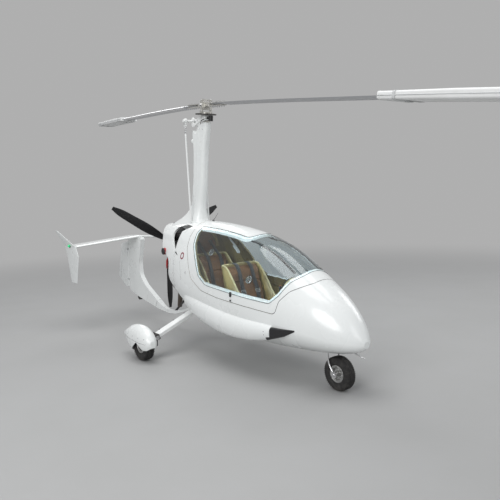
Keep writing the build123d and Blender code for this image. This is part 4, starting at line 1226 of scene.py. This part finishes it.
def brakes():
    """Disc on each main wheel's inner side, caliper on the axle plate, hose along the gear bow."""
    for side, tag in SIDES:
        inner = facing(box_of("main_tyre_" + tag)[2], (0, -side, 0))
        turned("brake_disc_" + tag, band(0.030, 0.064, 0.036, 0.040), inner, "steel", 48, "main_wheel_" + tag)
        caliper = bmesh.new()
        place = inner @ spin(radians(150)) @ shift(0.046, 0, 0.0575)
        add_block(caliper, (0, 0, 0), (0.034, 0.052, 0.030), place)
        add_lathe(caliper, [(CORE, 0.014), (0.014, 0.014), (0.013, 0.022), (CORE, 0.023)], place, 24)
        hard("brake_caliper_" + tag, caliper, "cast", 0.003)
        run = ((-0.165, 0.70, 0.235), (-0.192, 0.64, 0.262), (-0.192, 0.42, 0.352), (-0.192, 0.26, 0.418),
               (-0.192, 0.21, 0.430))
        hose = [place @ Vector((0, 0.02, 0.018))] + [(x, side * y, z) for x, y, z in run]
        tube("brake_line_" + tag, spline_points(hose), 0.003)
        clips = bmesh.new()
        for y in (0.62, 0.44, 0.30):
            add_block(clips, (-0.190, side * y, 0.217 + (0.735 - y) * 0.4095), (0.010, 0.010, 0.040))
        hard("brake_clips_" + tag, clips, "plastic", 0.001)


def gear_bolts():
    """Axle clamp bolts, and the seam and screws of the spats."""
    for side, tag in SIDES:
        places = [((-0.133 + dx, side * 0.705, 0.213 + dz), (0, -side, 0))
                  for dx in (-0.042, 0.042) for dz in (-0.034, 0.03)]
        fasteners("axle_bolts_" + tag, places, 0.0065, 0.007)
        spat = target("spat_" + tag)
        seam = [(-0.54 + 0.0333 * k, 0.232 - 0.02 * k / 18) for k in range(19)]
        skin_line("spat_seam_" + tag, [side_skin(x, z, side, spat)[0] for x, z in seam], 0.001)
        screws = [side_skin(x, 0.262, side, spat) for x in (-0.45, -0.33, -0.2, -0.07, 0.03)]
        fasteners("spat_screws_" + tag, screws, 0.0038, 0.0018)


SPAT_ROWS = [
    # x, middle z, half height, half width
    (-0.572, 0.228, 0.014, 0.012), (-0.470, 0.226, 0.062, 0.048), (-0.330, 0.215, 0.136, 0.080),
    (-0.180, 0.212, 0.165, 0.092), (-0.050, 0.212, 0.156, 0.090), (0.045, 0.206, 0.108, 0.072),
    (0.098, 0.204, 0.040, 0.036),
]
SPAT_EDGE = [(-0.700, 0.300), (-0.566, 0.222), (-0.337, 0.060), (-0.290, 0.096), (-0.110, 0.212),
             (0.002, 0.136), (0.060, 0.146), (0.130, 0.190)]
SPAT_Y = 0.852
BOW_END_Y, BOW_END_Z, BOW_END_LEAN = 0.708, 0.225, radians(-22.3)


def spat_edge_height(x):
    """Height of the spat's cut lower edge at x."""
    for (x0, z0), (x1, z1) in zip(SPAT_EDGE, SPAT_EDGE[1:]):
        if x <= x1:
            return z0 + (z1 - z0) * (x - x0) / (x1 - x0)
    return SPAT_EDGE[-1][1]


def spats():
    """Thin-walled spats over the wheels, open below along the cut edge, and the bow's end sleeves."""
    for side, tag in SIDES:
        rows = []
        for x, mid, high, wide in spline_points(SPAT_ROWS, 9):
            low = asin(held((spat_edge_height(x) - mid) / high))
            rows.append([(x, side * SPAT_Y + wide * cos(a), mid + high * sin(a))
                         for a in (low + (pi - 2 * low) * k / 32 for k in range(33))])
        bm = bmesh.new()
        add_rows(bm, rows, closed=False)
        piece = wall(link("spat_shell_" + tag, bm, "white"), 0.004)
        bevel(piece, 0.0012)
        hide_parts("spat_" + tag)
        sleeve = bmesh.new()
        place = shift(-0.133, side * BOW_END_Y, BOW_END_Z) @ spin(BOW_END_LEAN * side, "X")
        add_block(sleeve, (0, 0, 0), (0.130, 0.060, 0.060), place)
        hard("bow_end_sleeve_" + tag, sleeve, "hose", 0.006, 3)
        bolt = [((-0.0675, side * BOW_END_Y, BOW_END_Z), (1, 0, 0))]
        fasteners("bow_end_bolt_" + tag, bolt, 0.017, 0.010)


NOSE_X = 1.828


def nose_gear_detail():
    stem = shift(NOSE_X, 0, 0.340) @ spin(radians(-15), "Y")
    collar = [(0.0165, 0.016), (0.028, 0.016), (0.028, 0.026), (0.022, 0.030), (0.0165, 0.030)]
    turned("steering_collar", collar, stem, "steel", 32, "nose_leg")
    crown = [at(stem, (0.018 * k, side * 0.056, 0.0155), (0, 0, 1)) for side in (-1, 1) for k in (-1, 1)]
    fasteners("fork_crown_bolts", crown, 0.0055, 0.006, "nose_leg")
    nuts = bmesh.new()
    for side in (-1, 1):
        place = facing((1.896, side * 0.0762, 0.150), (0, side, 0))
        add_lathe(nuts, band(0.01255, 0.0185, 0, 0.006), place, 6)
    hard("axle_nuts", nuts, "steel", 0.0008, 1, "nose_leg")
    turned("nose_well_lining", band(0.1065, 0.110, 0.345, 0.40), shift(NOSE_X, 0, 0), "hose", 56)
    folds = [(0.018 + 0.006 * (k % 2) + 0.001 * k, 0.035 + 0.006 * k) for k in range(6)]
    inner_folds = [(r - 0.0015, z) for r, z in reversed(folds)]
    turned("steering_boot", folds + inner_folds, stem, "hose", 32, "nose_leg")


# Rotor head

HEAD = Matrix.Translation(HUB) @ spin(ROTOR_TILT, "Y")
ROTOR = HEAD @ spin(BLADE_YAW)


def at(place, point, axis):
    """A point and axis of a tilted frame, in the model's own frame."""
    return place @ Vector(point), place.to_3x3() @ Vector(axis)


def head_bolts():
    """Rows of bolts: name, body, head radius and height, frame, then (point, axis) places in that frame."""
    both = (-1, 1)
    rows = [
        ("strap_bolts", "rotor", 0.0062, 0.011, ROTOR,
         [((side * (0.140 + 0.052 * k), y, 0.0185 * up), (0, 0, up))
          for side in both for k in range(6) for y in (-0.019, 0.019) for up in both]),
        ("hub_bolts", "rotor", 0.007, 0.008, ROTOR,
         [((side * 0.100, y, 0.010 * up), (0, 0, up))
          for side in both for y in (-0.020, 0.020) for up in both]),
        ("bridge_bolts", "rotor_mast", 0.0055, 0.006, ROTOR,
         [((x, y, 0.059), (0, 0, 1)) for x in (-0.015, 0.015) for y in (-0.040, 0.040)]),
        ("cheek_bolts", "rotor_mast", 0.0045, 0.005, ROTOR,
         [((x, side * 0.062, z), (0, side, 0))
          for side in both for z in (-0.060, 0.050) for x in (-0.014, 0.014)]),
        ("gear_bolts", "rotor_mast", 0.0038, 0.004, ROTOR,
         [((x, y, -0.0915), (0, 0, 1)) for x, y in circle(0.052, 6, 0.5)]),
        ("gimbal_nuts", "airframe", 0.011, 0.009, HEAD,
         [((0, side * 0.042, -0.178), (0, side, 0)) for side in both]),
        ("bearing_bolts", "airframe", 0.0065, 0.006, HEAD,
         [((x, side * 0.042, z), (0, side, 0)) for side in both
          for x, z in ((-0.030, -0.136), (0.026, -0.136), (-0.100, -0.160), (-0.205, -0.166))]),
        ("yoke_bolts", "airframe", 0.007, 0.007, HEAD,
         [((-0.234, side * 0.120 + end * 0.011, -0.206), (0, end, 0)) for side in both for end in both]),
    ]
    for name, body, radius, height, place, spots in rows:
        fasteners(name, [at(place, *spot) for spot in spots], radius, height, body)


def teeter_hinge():
    """Castle nuts of the teeter bolt, and the block between the tower's cheeks."""
    nuts, block = bmesh.new(), bmesh.new()
    for side in (-1, 1):
        place = ROTOR @ facing((0, side * 0.0625, 0), (0, side, 0))
        add_lathe(nuts, band(0.0092, 0.019, 0, 0.003), place, 28)
        add_prism(nuts, circle(0.0155, 6), place @ shift(0, 0, 0.003), 0.011)
        for k in range(3):
            turn = place @ spin(pi / 3 * k)
            add_block(nuts, (0, 0, 0), (0.024, 0.0045, 0.005), turn @ shift(0, 0, 0.0165))
    hard("teeter_nuts", nuts, "steel", 0.0008, 1, "rotor")
    add_block(block, (0, 0, -0.007), (0.058, 0.090, 0.088), ROTOR)
    for x in (-0.029, 0.029):
        for z in (-0.030, 0.016):
            add_block(block, (x, 0, z), (0.006, 0.084, 0.012), ROTOR)
    hard("teeter_block", block, "machined", 0.003, body="rotor")


SHACKLE = Vector((-0.054, -0.042, 2.530))


def rotor_head_detail():
    head_bolts()
    teeter_hinge()
    turned("bearing_seal", [(0.0205, -0.111), (0.033, -0.111), (0.031, -0.106), (0.0205, -0.106)], HEAD,
           "hose", 40)
    rods = bmesh.new()
    for side in (-1, 1):
        place = facing(HEAD @ Vector((-0.234, side * 0.120, -0.236)), (-0.036, 0, -1))
        add_lathe(rods, [(CORE, 0), (0.013, 0), (0.014, 0.010), (0.0105, 0.026), (0.0105, 0.075),
                         (CORE, 0.075)], place, 24)
        add_prism(rods, circle(0.0145, 6), place @ shift(0, 0, 0.050), 0.010)
    bevel(link("rod_ends", rods, "steel"), 0.0006, 1)
    ring = bmesh.new()
    add_tube(ring, [SHACKLE + Vector((0.017 * cos(a), 0.002 * sin(a), 0.017 * sin(a) + 0.004))
                    for a in (radians(-240 + 300 * k / 24) for k in range(25))], 0.0042, 10)
    add_tube(ring, [SHACKLE + Vector((-0.013, 0, -0.011)), SHACKLE + Vector((0.013, 0, -0.011))], 0.0036, 10)
    link("lifting_shackle", ring, "steel")
    cable = [HEAD @ Vector(p) for p in ((0.050, -0.013, -0.136), (0.040, -0.040, -0.150),
                                        (-0.02, -0.048, -0.168))]
    tube("head_cable", spline_points(cable + [(-0.09, -0.03, 2.49), (-0.10, -0.01, 2.46)]), 0.003)


EDGE_ROWS = [(0.520, 0.006), (1.000, 0.016), (1.700, 0.037), (2.900, 0.081)]
EDGE_CHORD = (0.022, 0.036, 0.045, 0.0495)
SLEEVE_Y, SLEEVE_HALF = -0.050, 0.133


def edge_rows(place, blade):
    """Points just off the blade's leading edge, from its top round to its bottom, at each (radius, droop)."""
    turn, rows = place.to_3x3(), []
    for r, drop in EDGE_ROWS:
        row = []
        for y, up in [(y, 1) for y in EDGE_CHORD] + [(y, -1) for y in reversed(EDGE_CHORD)]:
            hit = blade.ray_cast(place @ Vector((r, y, -drop + 0.1 * up)), turn @ Vector((0, 0, -up)))[0]
            row.append((hit or place @ Vector((r, y, -drop))) + turn @ Vector((0, 0, up * 0.0005)))
        rows.append(row)
    return rows


def sleeve_loop(place, r, drop, wide, high, corner=1.0):
    """Flattened loop round a covered blade."""
    loop = []
    for a in (2 * pi * k / 40 for k in range(41)):
        y = SLEEVE_Y + wide / 2 * held(1.12 * cos(a), corner)
        loop.append(place @ Vector((r, y, -drop + high / 2 * held(1.6 * sin(a), corner))))
    return loop


def blade_detail():
    """Leading edge strips on the blades, hems and ties on the tip covers."""
    for turn, tag in ((0.0, "fore"), (pi, "aft")):
        place = ROTOR @ spin(turn)
        edge, ties, hems = bmesh.new(), bmesh.new(), bmesh.new()
        add_rows(edge, edge_rows(place, target("rotor_blade_" + tag)), closed=False, caps=False)
        link("blade_edge_" + tag, edge, "steel", "rotor")
        tie_wide, tie_high = 0.270, 0.0585
        for r in (3.05, 4.08):
            drop = 0.081 + (r - 2.9) * 0.047
            add_strap(ties, sleeve_loop(place, r, drop, tie_wide, tie_high), 0.024, 0.0025,
                      place.to_3x3() @ Vector((1, 0, 0)))
            add_block(ties, (r, SLEEVE_Y, -drop - tie_high / 2 - 0.004), (0.034, 0.040, 0.007), place)
        link("sleeve_ties_" + tag, ties, "pale_webbing", "rotor")
        for y in (SLEEVE_Y - SLEEVE_HALF, SLEEVE_Y + SLEEVE_HALF):
            path = [place @ Vector((r, y, -drop)) for r, drop in
                    ((2.905, 0.081), (3.2, 0.0945), (3.5, 0.108), (3.9, 0.1275), (4.196, 0.142))]
            add_tube(hems, path, 0.0035, 8)
        for r, drop, wide, high in ((2.906, 0.081, 0.262, 0.052), (4.194, 0.142, 0.262, 0.054)):
            add_tube(hems, sleeve_loop(place, r, drop, wide, high, 0.97), 0.0035, 8)
        link("sleeve_hems_" + tag, hems, "pale_webbing", "rotor")


# Engine bay

CYLINDERS_X = (-0.365, -0.500)
SILENCER_X = -0.585


def cylinders():
    """Finned barrels, covers, exhaust pipes with their clamps, and intake pipes."""
    fins, covers, pipes, clamps = bmesh.new(), bmesh.new(), bmesh.new(), bmesh.new()
    for side in (-1, 1):
        for x in CYLINDERS_X:
            place = facing((x, side * 0.150, 1.010), (0, side, 0.05))
            for z in (0.012 * k for k in range(8)):
                add_lathe(fins, band(0.030, 0.056, z, z + 0.004), place, 40)
            add_block(covers, (0, 0, 0.105), (0.104, 0.104, 0.030), place)
            add_block(covers, (0, 0, 0.124), (0.072, 0.078, 0.018), place)
            port = place @ Vector((0.0, 0.0, 0.105))
            path = [port + Vector((0, 0, -0.040)), Vector((x - 0.01, side * 0.262, 0.90)),
                    Vector((-0.50 + (x + 0.43) * 0.5, side * 0.235, 0.80)),
                    Vector((SILENCER_X, side * 0.150, 0.735))]
            add_tube(pipes, spline_points(path), 0.019, 16)
            add_lathe(clamps, band(0.018, 0.0235, -0.006, 0.006), facing(path[1], path[2] - path[1]), 24)
            intake = [port + Vector((0, 0, 0.045)), (x - 0.02, side * 0.235, 1.14),
                      (-0.54, side * 0.20, 1.16), (-0.585, side * 0.17, 1.14)]
            add_tube(covers, spline_points(intake), 0.017, 16)
    link("cylinder_fins", fins, "cast")
    hard("valve_covers", covers, "engine", 0.005)
    link("exhaust_pipes", pipes, "exhaust")
    link("exhaust_clamps", clamps, "steel")


def air_filters():
    """Carburettor, folded red cone with its cap, and drain hose on each side."""
    foot, fold = 0.058, 0.0023
    cone = [((0.047 - 0.011 * k / 39) * (1 + 0.045 * (k % 2)), foot + fold * k) for k in range(40)]
    top = cone[-1][1]
    for side, tag in SIDES:
        place = facing((-0.590, side * 0.155, 1.085), (-0.05, side, 0))
        turned("carburettor_" + tag, [(0.020, 0), (0.034, 0), (0.036, 0.030), (0.030, foot), (0.020, foot)],
               place, "cast", 32)
        turned("air_filter_" + tag, [(CORE, foot)] + cone + [(CORE, top)], place, "red", 72)
        drain = [(-0.600, side * 0.175, 1.040), (-0.625, side * 0.235, 0.985), (-0.600, side * 0.262, 0.925),
                 (-0.640, side * 0.240, 0.880)]
        tube("filter_drain_" + tag, spline_points(drain), 0.013, "red")
        cap = [(CORE, top), (0.039, top), (0.039, top + 0.008), (0.030, top + 0.013), (CORE, top + 0.013)]
        turned("air_filter_cap_" + tag, cap, place, "plastic", 40)


COOLANT_RUN = [(-0.36, 0.09, 1.195), (-0.34, 0.12, 1.27), (-0.42, 0.16, 1.30), (-0.56, 0.15, 1.27),
               (-0.62, 0.12, 1.20)]
OIL_RUN = [(-0.66, 0.06, 1.07), (-0.70, 0.11, 0.98), (-0.64, 0.15, 0.88), (-0.50, 0.12, 0.82),
           (-0.42, 0.08, 0.87)]
FUEL_RUN = [(-0.33, -0.05, 0.87), (-0.30, -0.10, 0.80), (-0.34, -0.16, 0.78), (-0.42, -0.15, 0.86)]


def engine_hoses():
    for side, tag in SIDES:
        tube("coolant_hose_" + tag, spline_points([(x, side * y, z) for x, y, z in COOLANT_RUN]), 0.014)
    tube("oil_hose", spline_points(OIL_RUN), 0.010)
    tube("fuel_hose", spline_points(FUEL_RUN), 0.006)
    wires = bmesh.new()
    for k, (side, x) in enumerate((side, x) for side in (-1, 1) for x in CYLINDERS_X):
        path = [(-0.45 + 0.02 * k, side * 0.05, 1.205), (-0.44, side * 0.12, 1.24),
                (x + 0.02, side * 0.20, 1.16), (x + 0.02, side * 0.24, 1.07)]
        add_tube(wires, spline_points(path), 0.0036, 8)
    link("plug_leads", wires, "red")


def engine_detail():
    cylinders()
    air_filters()
    engine_hoses()
    tank, place = bmesh.new(), shift(-0.375, 0.13, 1.200)
    add_lathe(tank, [(CORE, 0), (0.058, 0), (0.062, 0.006), (0.062, 0.120), (0.054, 0.134), (CORE, 0.136)],
              place, 40)
    add_lathe(tank, [(CORE, 0.134), (0.022, 0.134), (0.022, 0.150), (CORE, 0.152)], place, 24)
    link("expansion_tank", tank, "cast")
    turned("coolant_cap", [(CORE, 0), (0.017, 0), (0.017, 0.018), (0.013, 0.024), (CORE, 0.025)],
           facing((-0.352, -0.150, 1.250), (-0.2, -0.8, 0.6)), "white_paint", 28)
    ribs = bmesh.new()
    for y in (-0.06, -0.02, 0.02, 0.06):
        for z in (1.245, 1.051):
            add_block(ribs, (-0.740, y, z), (0.220, 0.006, 0.014))
    for y in (-0.2, -0.1, 0.1, 0.2):
        add_block(ribs, (-0.430, y, 0.862), (0.220, 0.008, 0.020))
    hard("casting_ribs", ribs, "engine", 0.002)
    flange = [((-0.8555, y, 1.148 + z), (-1, 0, 0)) for y, z in circle(0.075, 8, 0.5)]
    fasteners("gearbox_bolts", flange, 0.0065, 0.007)
    silencer_mounts()


def silencer_mounts():
    """Bands with their screws, and the two tension springs."""
    bands, springs = bmesh.new(), bmesh.new()
    for y in (-0.12, 0.0, 0.12):
        add_lathe(bands, band(0.067, 0.070, -0.008, 0.008), facing((SILENCER_X, y, 0.705), (0, 1, 0)), 48)
        add_block(bands, (SILENCER_X, y, 0.779), (0.016, 0.012, 0.018))
    link("silencer_bands", bands, "steel")
    for side in (-1, 1):
        coil = [Vector((SILENCER_X + 0.008 * cos(a), side * (0.125 + 0.0011 * a), 0.775 + 0.008 * sin(a)))
                for a in (2 * pi * k / 10 for k in range(61))]
        add_tube(springs, coil, 0.0014, 6)
    link("silencer_springs", springs, "steel")


PROP = Vector((-1.009, 0, 1.168))
PROP_TURN = 58.65


def propeller_detail():
    front = facing(PROP + Vector((-0.030, 0, 0)), (-1, 0, 0))
    turned("prop_centre_cap", [(CORE, 0), (0.030, 0), (0.030, 0.008), (0.020, 0.016), (CORE, 0.018)], front,
           "machined", 40, "propeller")
    places = [(front @ Vector((x, y, 0)), (-1, 0, 0)) for x, y in circle(0.056, 6, (PROP_TURN + 30) / 60)]
    fasteners("prop_bolts", places, 0.0065, 0.007, "propeller")
    collars = bmesh.new()
    for k in range(3):
        add_lathe(collars, [(0.022, 0.072), (0.034, 0.072), (0.034, 0.086), (0.030, 0.094), (0.022, 0.094)],
                  Matrix.Translation(PROP) @ spin(radians(PROP_TURN + 120 * k), "X"), 36)
    link("blade_collars", collars, "machined", "propeller")


# Fuselage and tail trims

COWL_SEAM = Vector((-0.298, 0, 0.95))
HATCH_SEAM = [(-0.150, 1.010), (-0.132, 0.977), (-0.112, 0.920), (-0.097, 0.860), (-0.087, 0.806)]


def cowl_seam():
    """Seam round the pod at the cowl's front edge, with screws each side of it."""
    points = []
    for k in [*range(-35, 66, 4), *range(66, 115, 4), *range(115, 216, 4)]:
        out = spoke(radians(k))
        points.append(struck(SKIN, COWL_SEAM + out * CLEAR_SIDE, -out)[0])
    skin_line("cowl_seam", points, 0.0008)
    screws = [side_skin(x, z, side) for side in (-1, 1) for z in (0.56, 0.66, 0.76, 0.86, 0.96)
              for x in (-0.322, -0.276)]
    fasteners("cowl_screws", screws, 0.0042, 0.0015)


def body_trims():
    cowl_seam()
    for side, tag in SIDES:
        turned("ring_badge_" + tag, [(0.0250, -0.001), (0.0400, -0.001), (0.0390, 0.0018), (0.0260, 0.0018)],
               facing(*side_skin(-0.103, 1.069, side)), "red_paint", 48)
        seam = [side_skin(x, z, side)[0] for x, z in HATCH_SEAM]
        skin_line("hatch_seam_" + tag, spline_points(seam, 5), 0.0009)
        turned("tank_vent_" + tag, [(CORE, -0.002), (0.012, -0.002), (0.012, 0.002), (0.009, 0.003),
                                    (CORE, 0.0015)], facing(*side_skin(0.02, 0.90, side)), "steel", 28)
        crease = [side_skin(x, z, side) for x, z in ((1.380, 0.500), (1.384, 0.470))]
        fasteners("cap_screws_" + tag, crease, 0.0035, 0.0015)
    cap, place = bmesh.new(), facing(*side_skin(-0.02, 1.00, 1))
    add_lathe(cap, [(CORE, -0.002), (0.036, -0.002), (0.036, 0.003), (0.028, 0.006), (CORE, 0.006)],
              place, 48)
    add_block(cap, (0, 0, 0.008), (0.040, 0.008, 0.006), place)
    bevel(link("fuel_cap", cap, "cast"), 0.001)
    tube("pitot_tube", [Vector((2.040, 0, 0.371)), Vector((2.120, 0, 0.352)), Vector((2.186, 0, 0.337))],
         lambda t: 0.0055 - 0.0015 * t, "steel", 14)
    blade = bmesh.new()
    add_prism(blade, [(0.62, 0.292), (0.70, 0.292), (0.655, 0.215), (0.635, 0.215)],
              facing((0, 0.0025, 0), (0, -1, 0)), 0.005)
    hard("belly_antenna", blade, "plastic", 0.002)


def tail_lamps():
    """Navigation lamps and screws on the end plates and the tailplane."""
    stabiliser = target("stabiliser")
    down = (0, 0, -1)
    for (side, tag), look in zip(SIDES, ("green_lens", "red_lens")):
        hit = side_skin(-1.985, 1.128, side, target("end_plate_" + tag))[0]
        place = facing(hit, (0, side, 0))
        turned("nav_lamp_" + tag, [(CORE, 0.003), (0.020, 0.003), (0.017, 0.018), (0.008, 0.026),
                                   (CORE, 0.027)], place, look, 28)
        turned("nav_lamp_base_" + tag, [(CORE, -0.002), (0.025, -0.002), (0.024, 0.004), (CORE, 0.004)],
               place, "plastic", 28)
        screws = [struck(stabiliser, (x, side * 0.86, 1.4), down) for x in (-1.90, -1.98, -2.06, -2.13)]
        fasteners("end_plate_screws_" + tag, screws, 0.0045, 0.002)
        bolts = [struck(stabiliser, (x, side * 0.060, 1.5), down) for x in (-1.88, -1.98, -2.08)]
        fasteners("tailplane_bolts_" + tag, bolts, 0.0055, 0.003)


BOOM_SEAM = Vector((-1.36, 0, 0.325))


def tail_detail():
    """Lamps, screws on the end plates and tailplane, seams and the rudder's control horn."""
    tail_lamps()
    boom, seam = target("tail_boom"), []
    for a in (2 * pi * k / 32 for k in range(33)):
        out = Vector((0.45 * cos(a), sin(a), 0.9 * cos(a)))
        hit = boom.ray_cast(BOOM_SEAM + out * 0.5, -out)[0]
        seam.append(BOOM_SEAM + out * 0.05 if hit is None else hit)
    skin_line("boom_seam", seam, 0.0014)
    horn = bmesh.new()
    add_prism(horn, [(-2.345, 0.520), (-2.300, 0.520), (-2.262, 0.462), (-2.272, 0.448), (-2.300, 0.462)],
              facing((0, 0.030, 0), (0, -1, 0)), 0.004)
    hard("rudder_horn", horn, "dark_steel", 0.001, body="rudder")
    guide = [(-2.170, 0.028, 0.452), (-2.10, 0.030, 0.425), (-1.95, 0.030, 0.384), (-1.80, 0.036, 0.355)]
    tube("rudder_cable_guide", spline_points(guide, 6), 0.0045, sides=10)
    rudder = target("rudder")
    tab = [side_skin(x, z, -1, rudder)[0]
           for x, z in ((-2.500, 0.560), (-2.478, 0.640), (-2.456, 0.720), (-2.434, 0.800))]
    skin_line("rudder_tab_seam", spline_points(tab, 4), 0.0011, body="rudder")


def mast_detail():
    mast = target("mast")
    for side, tag in SIDES:
        seam = [side_skin(-0.255 + 0.105 * k / 24, 1.58 + 0.036 * k, side, mast)[0] for k in range(25)]
        skin_line("mast_seam_" + tag, seam, 0.0007, "seam_white")
        screws = [side_skin(-0.150 + 0.05 * k, 2.462 - 0.01 * k, side, mast) for k in range(3)]
        fasteners("mast_screws_" + tag, screws, 0.0045, 0.002)


# Stage

BACKDROP = 0.43


def place_camera():
    camera = bpy.data.cameras.new("photo_camera")
    camera.sensor_width = 36.0
    camera.sensor_fit = "HORIZONTAL"
    camera.lens = FOCAL_PX / FRAME_PX * camera.sensor_width
    camera.clip_end = 200.0
    a, p, r = radians(HEADING), radians(PITCH), radians(ROLL)
    ahead = Vector((-sin(a) * cos(p), cos(a) * cos(p), -sin(p)))
    right = Vector((cos(a), sin(a), 0))
    up = right.cross(ahead)
    rolled_right = right * cos(r) + up * sin(r)
    rolled_up = up * cos(r) - right * sin(r)
    place = Matrix((rolled_right, rolled_up, -ahead)).transposed().to_4x4()
    place.translation = Vector(CAMERA_PLACE)
    piece = show("photo_camera", camera)
    piece.matrix_world = place
    bpy.context.scene.camera = piece


def seen_directly(nodes, links):
    """1 for rays from the camera, mirrors and glass, which see the plain backdrop."""
    path = nodes.new("ShaderNodeLightPath")
    total = path.outputs["Is Camera Ray"]
    for other in ("Is Glossy Ray", "Is Transmission Ray"):
        add = nodes.new("ShaderNodeMath")
        add.operation = "ADD"
        add.use_clamp = True
        links.new(total, add.inputs[0])
        links.new(path.outputs[other], add.inputs[1])
        total = add.outputs[0]
    return total


def light_world():
    world = bpy.data.worlds.new("studio")
    bpy.context.scene.world = world
    world.use_nodes = True
    nodes, links = world.node_tree.nodes, world.node_tree.links
    fill, plain = nodes["Background"], nodes.new("ShaderNodeBackground")
    for node, color, strength in ((fill, (0.93, 0.96, 1.0, 1), 0.42), (plain, (1, 1, 1, 1), BACKDROP)):
        node.inputs["Color"].default_value = color
        node.inputs["Strength"].default_value = strength
    mix = nodes.new("ShaderNodeMixShader")
    links.new(seen_directly(nodes, links), mix.inputs["Fac"])
    links.new(fill.outputs[0], mix.inputs[1])
    links.new(plain.outputs[0], mix.inputs[2])
    links.new(mix.outputs[0], nodes["World Output"].inputs["Surface"])


def lay_floor():
    """Wide pale floor that fades into the backdrop, so that no horizon shows."""
    bm = bmesh.new()
    bmesh.ops.create_circle(bm, cap_ends=True, radius=60.0, segments=96)
    mesh = bpy.data.meshes.new("floor")
    bm.to_mesh(mesh)
    bm.free()
    floor = show("floor", mesh)
    s = layered("floor_pale", (0.40, 0.40, 0.397), 0.85, [((1.2, 4), 0.3, 0.8, (0.385, 0.385, 0.38))],
                [((60, 4), 0.0004)])
    mesh.materials.append(s.done())
    glow = s.nodes.new("ShaderNodeEmission")
    glow.inputs["Color"].default_value = (1, 1, 1, 1)
    glow.inputs["Strength"].default_value = BACKDROP
    reach = s.nodes.new("ShaderNodeVectorMath")
    reach.operation = "LENGTH"
    s.links.new(s.coords, reach.inputs[0])
    far = s.span(reach.outputs["Value"], 3.0, 13.0)
    s.mixed(s.math("MULTIPLY", far, seen_directly(s.nodes, s.links)), s.bsdf, glow)


LAMPS = [
    # name, place, size, power in watts
    ("overhead", (0.6, -1.2, 8.0), 7.0, 330),
    ("key", (4.5, -8.0, 5.0), 5.0, 320),
    ("nose", (8.5, -0.5, 4.5), 4.0, 60),
    ("rear", (-6.5, 1.5, 6.0), 4.0, 120),
    ("port", (2.0, 7.0, 4.5), 4.0, 90),
]
LAMPS_AIM = Vector((0.2, 0, 1.0))


def hang_lamps():
    for name, place, size, power in LAMPS:
        lamp = bpy.data.lights.new(name, "AREA")
        lamp.shape = "DISK"
        lamp.size = size
        lamp.energy = power
        piece = show(name, lamp)
        piece.rotation_euler = (LAMPS_AIM - Vector(place)).to_track_quat("-Z", "Y").to_euler()
        piece.location = place


place_camera()
light_world()
lay_floor()
hang_lamps()
dress_nodes()
canopy_seals()
window_vents()
screen_bars()
canopy_latch()
grab_strap()
roof_antenna()
glareshield()
panel_hood()
rear_arch()
instruments()
cabin_controls()
soft_pads()
seat_wings()
harness()
wheel_detail()
brakes()
gear_bolts()
spats()
nose_gear_detail()
rotor_head_detail()
blade_detail()
engine_detail()
propeller_detail()
body_trims()
mast_detail()
tail_detail()

bpy.context.scene.view_settings.view_transform = "Standard"
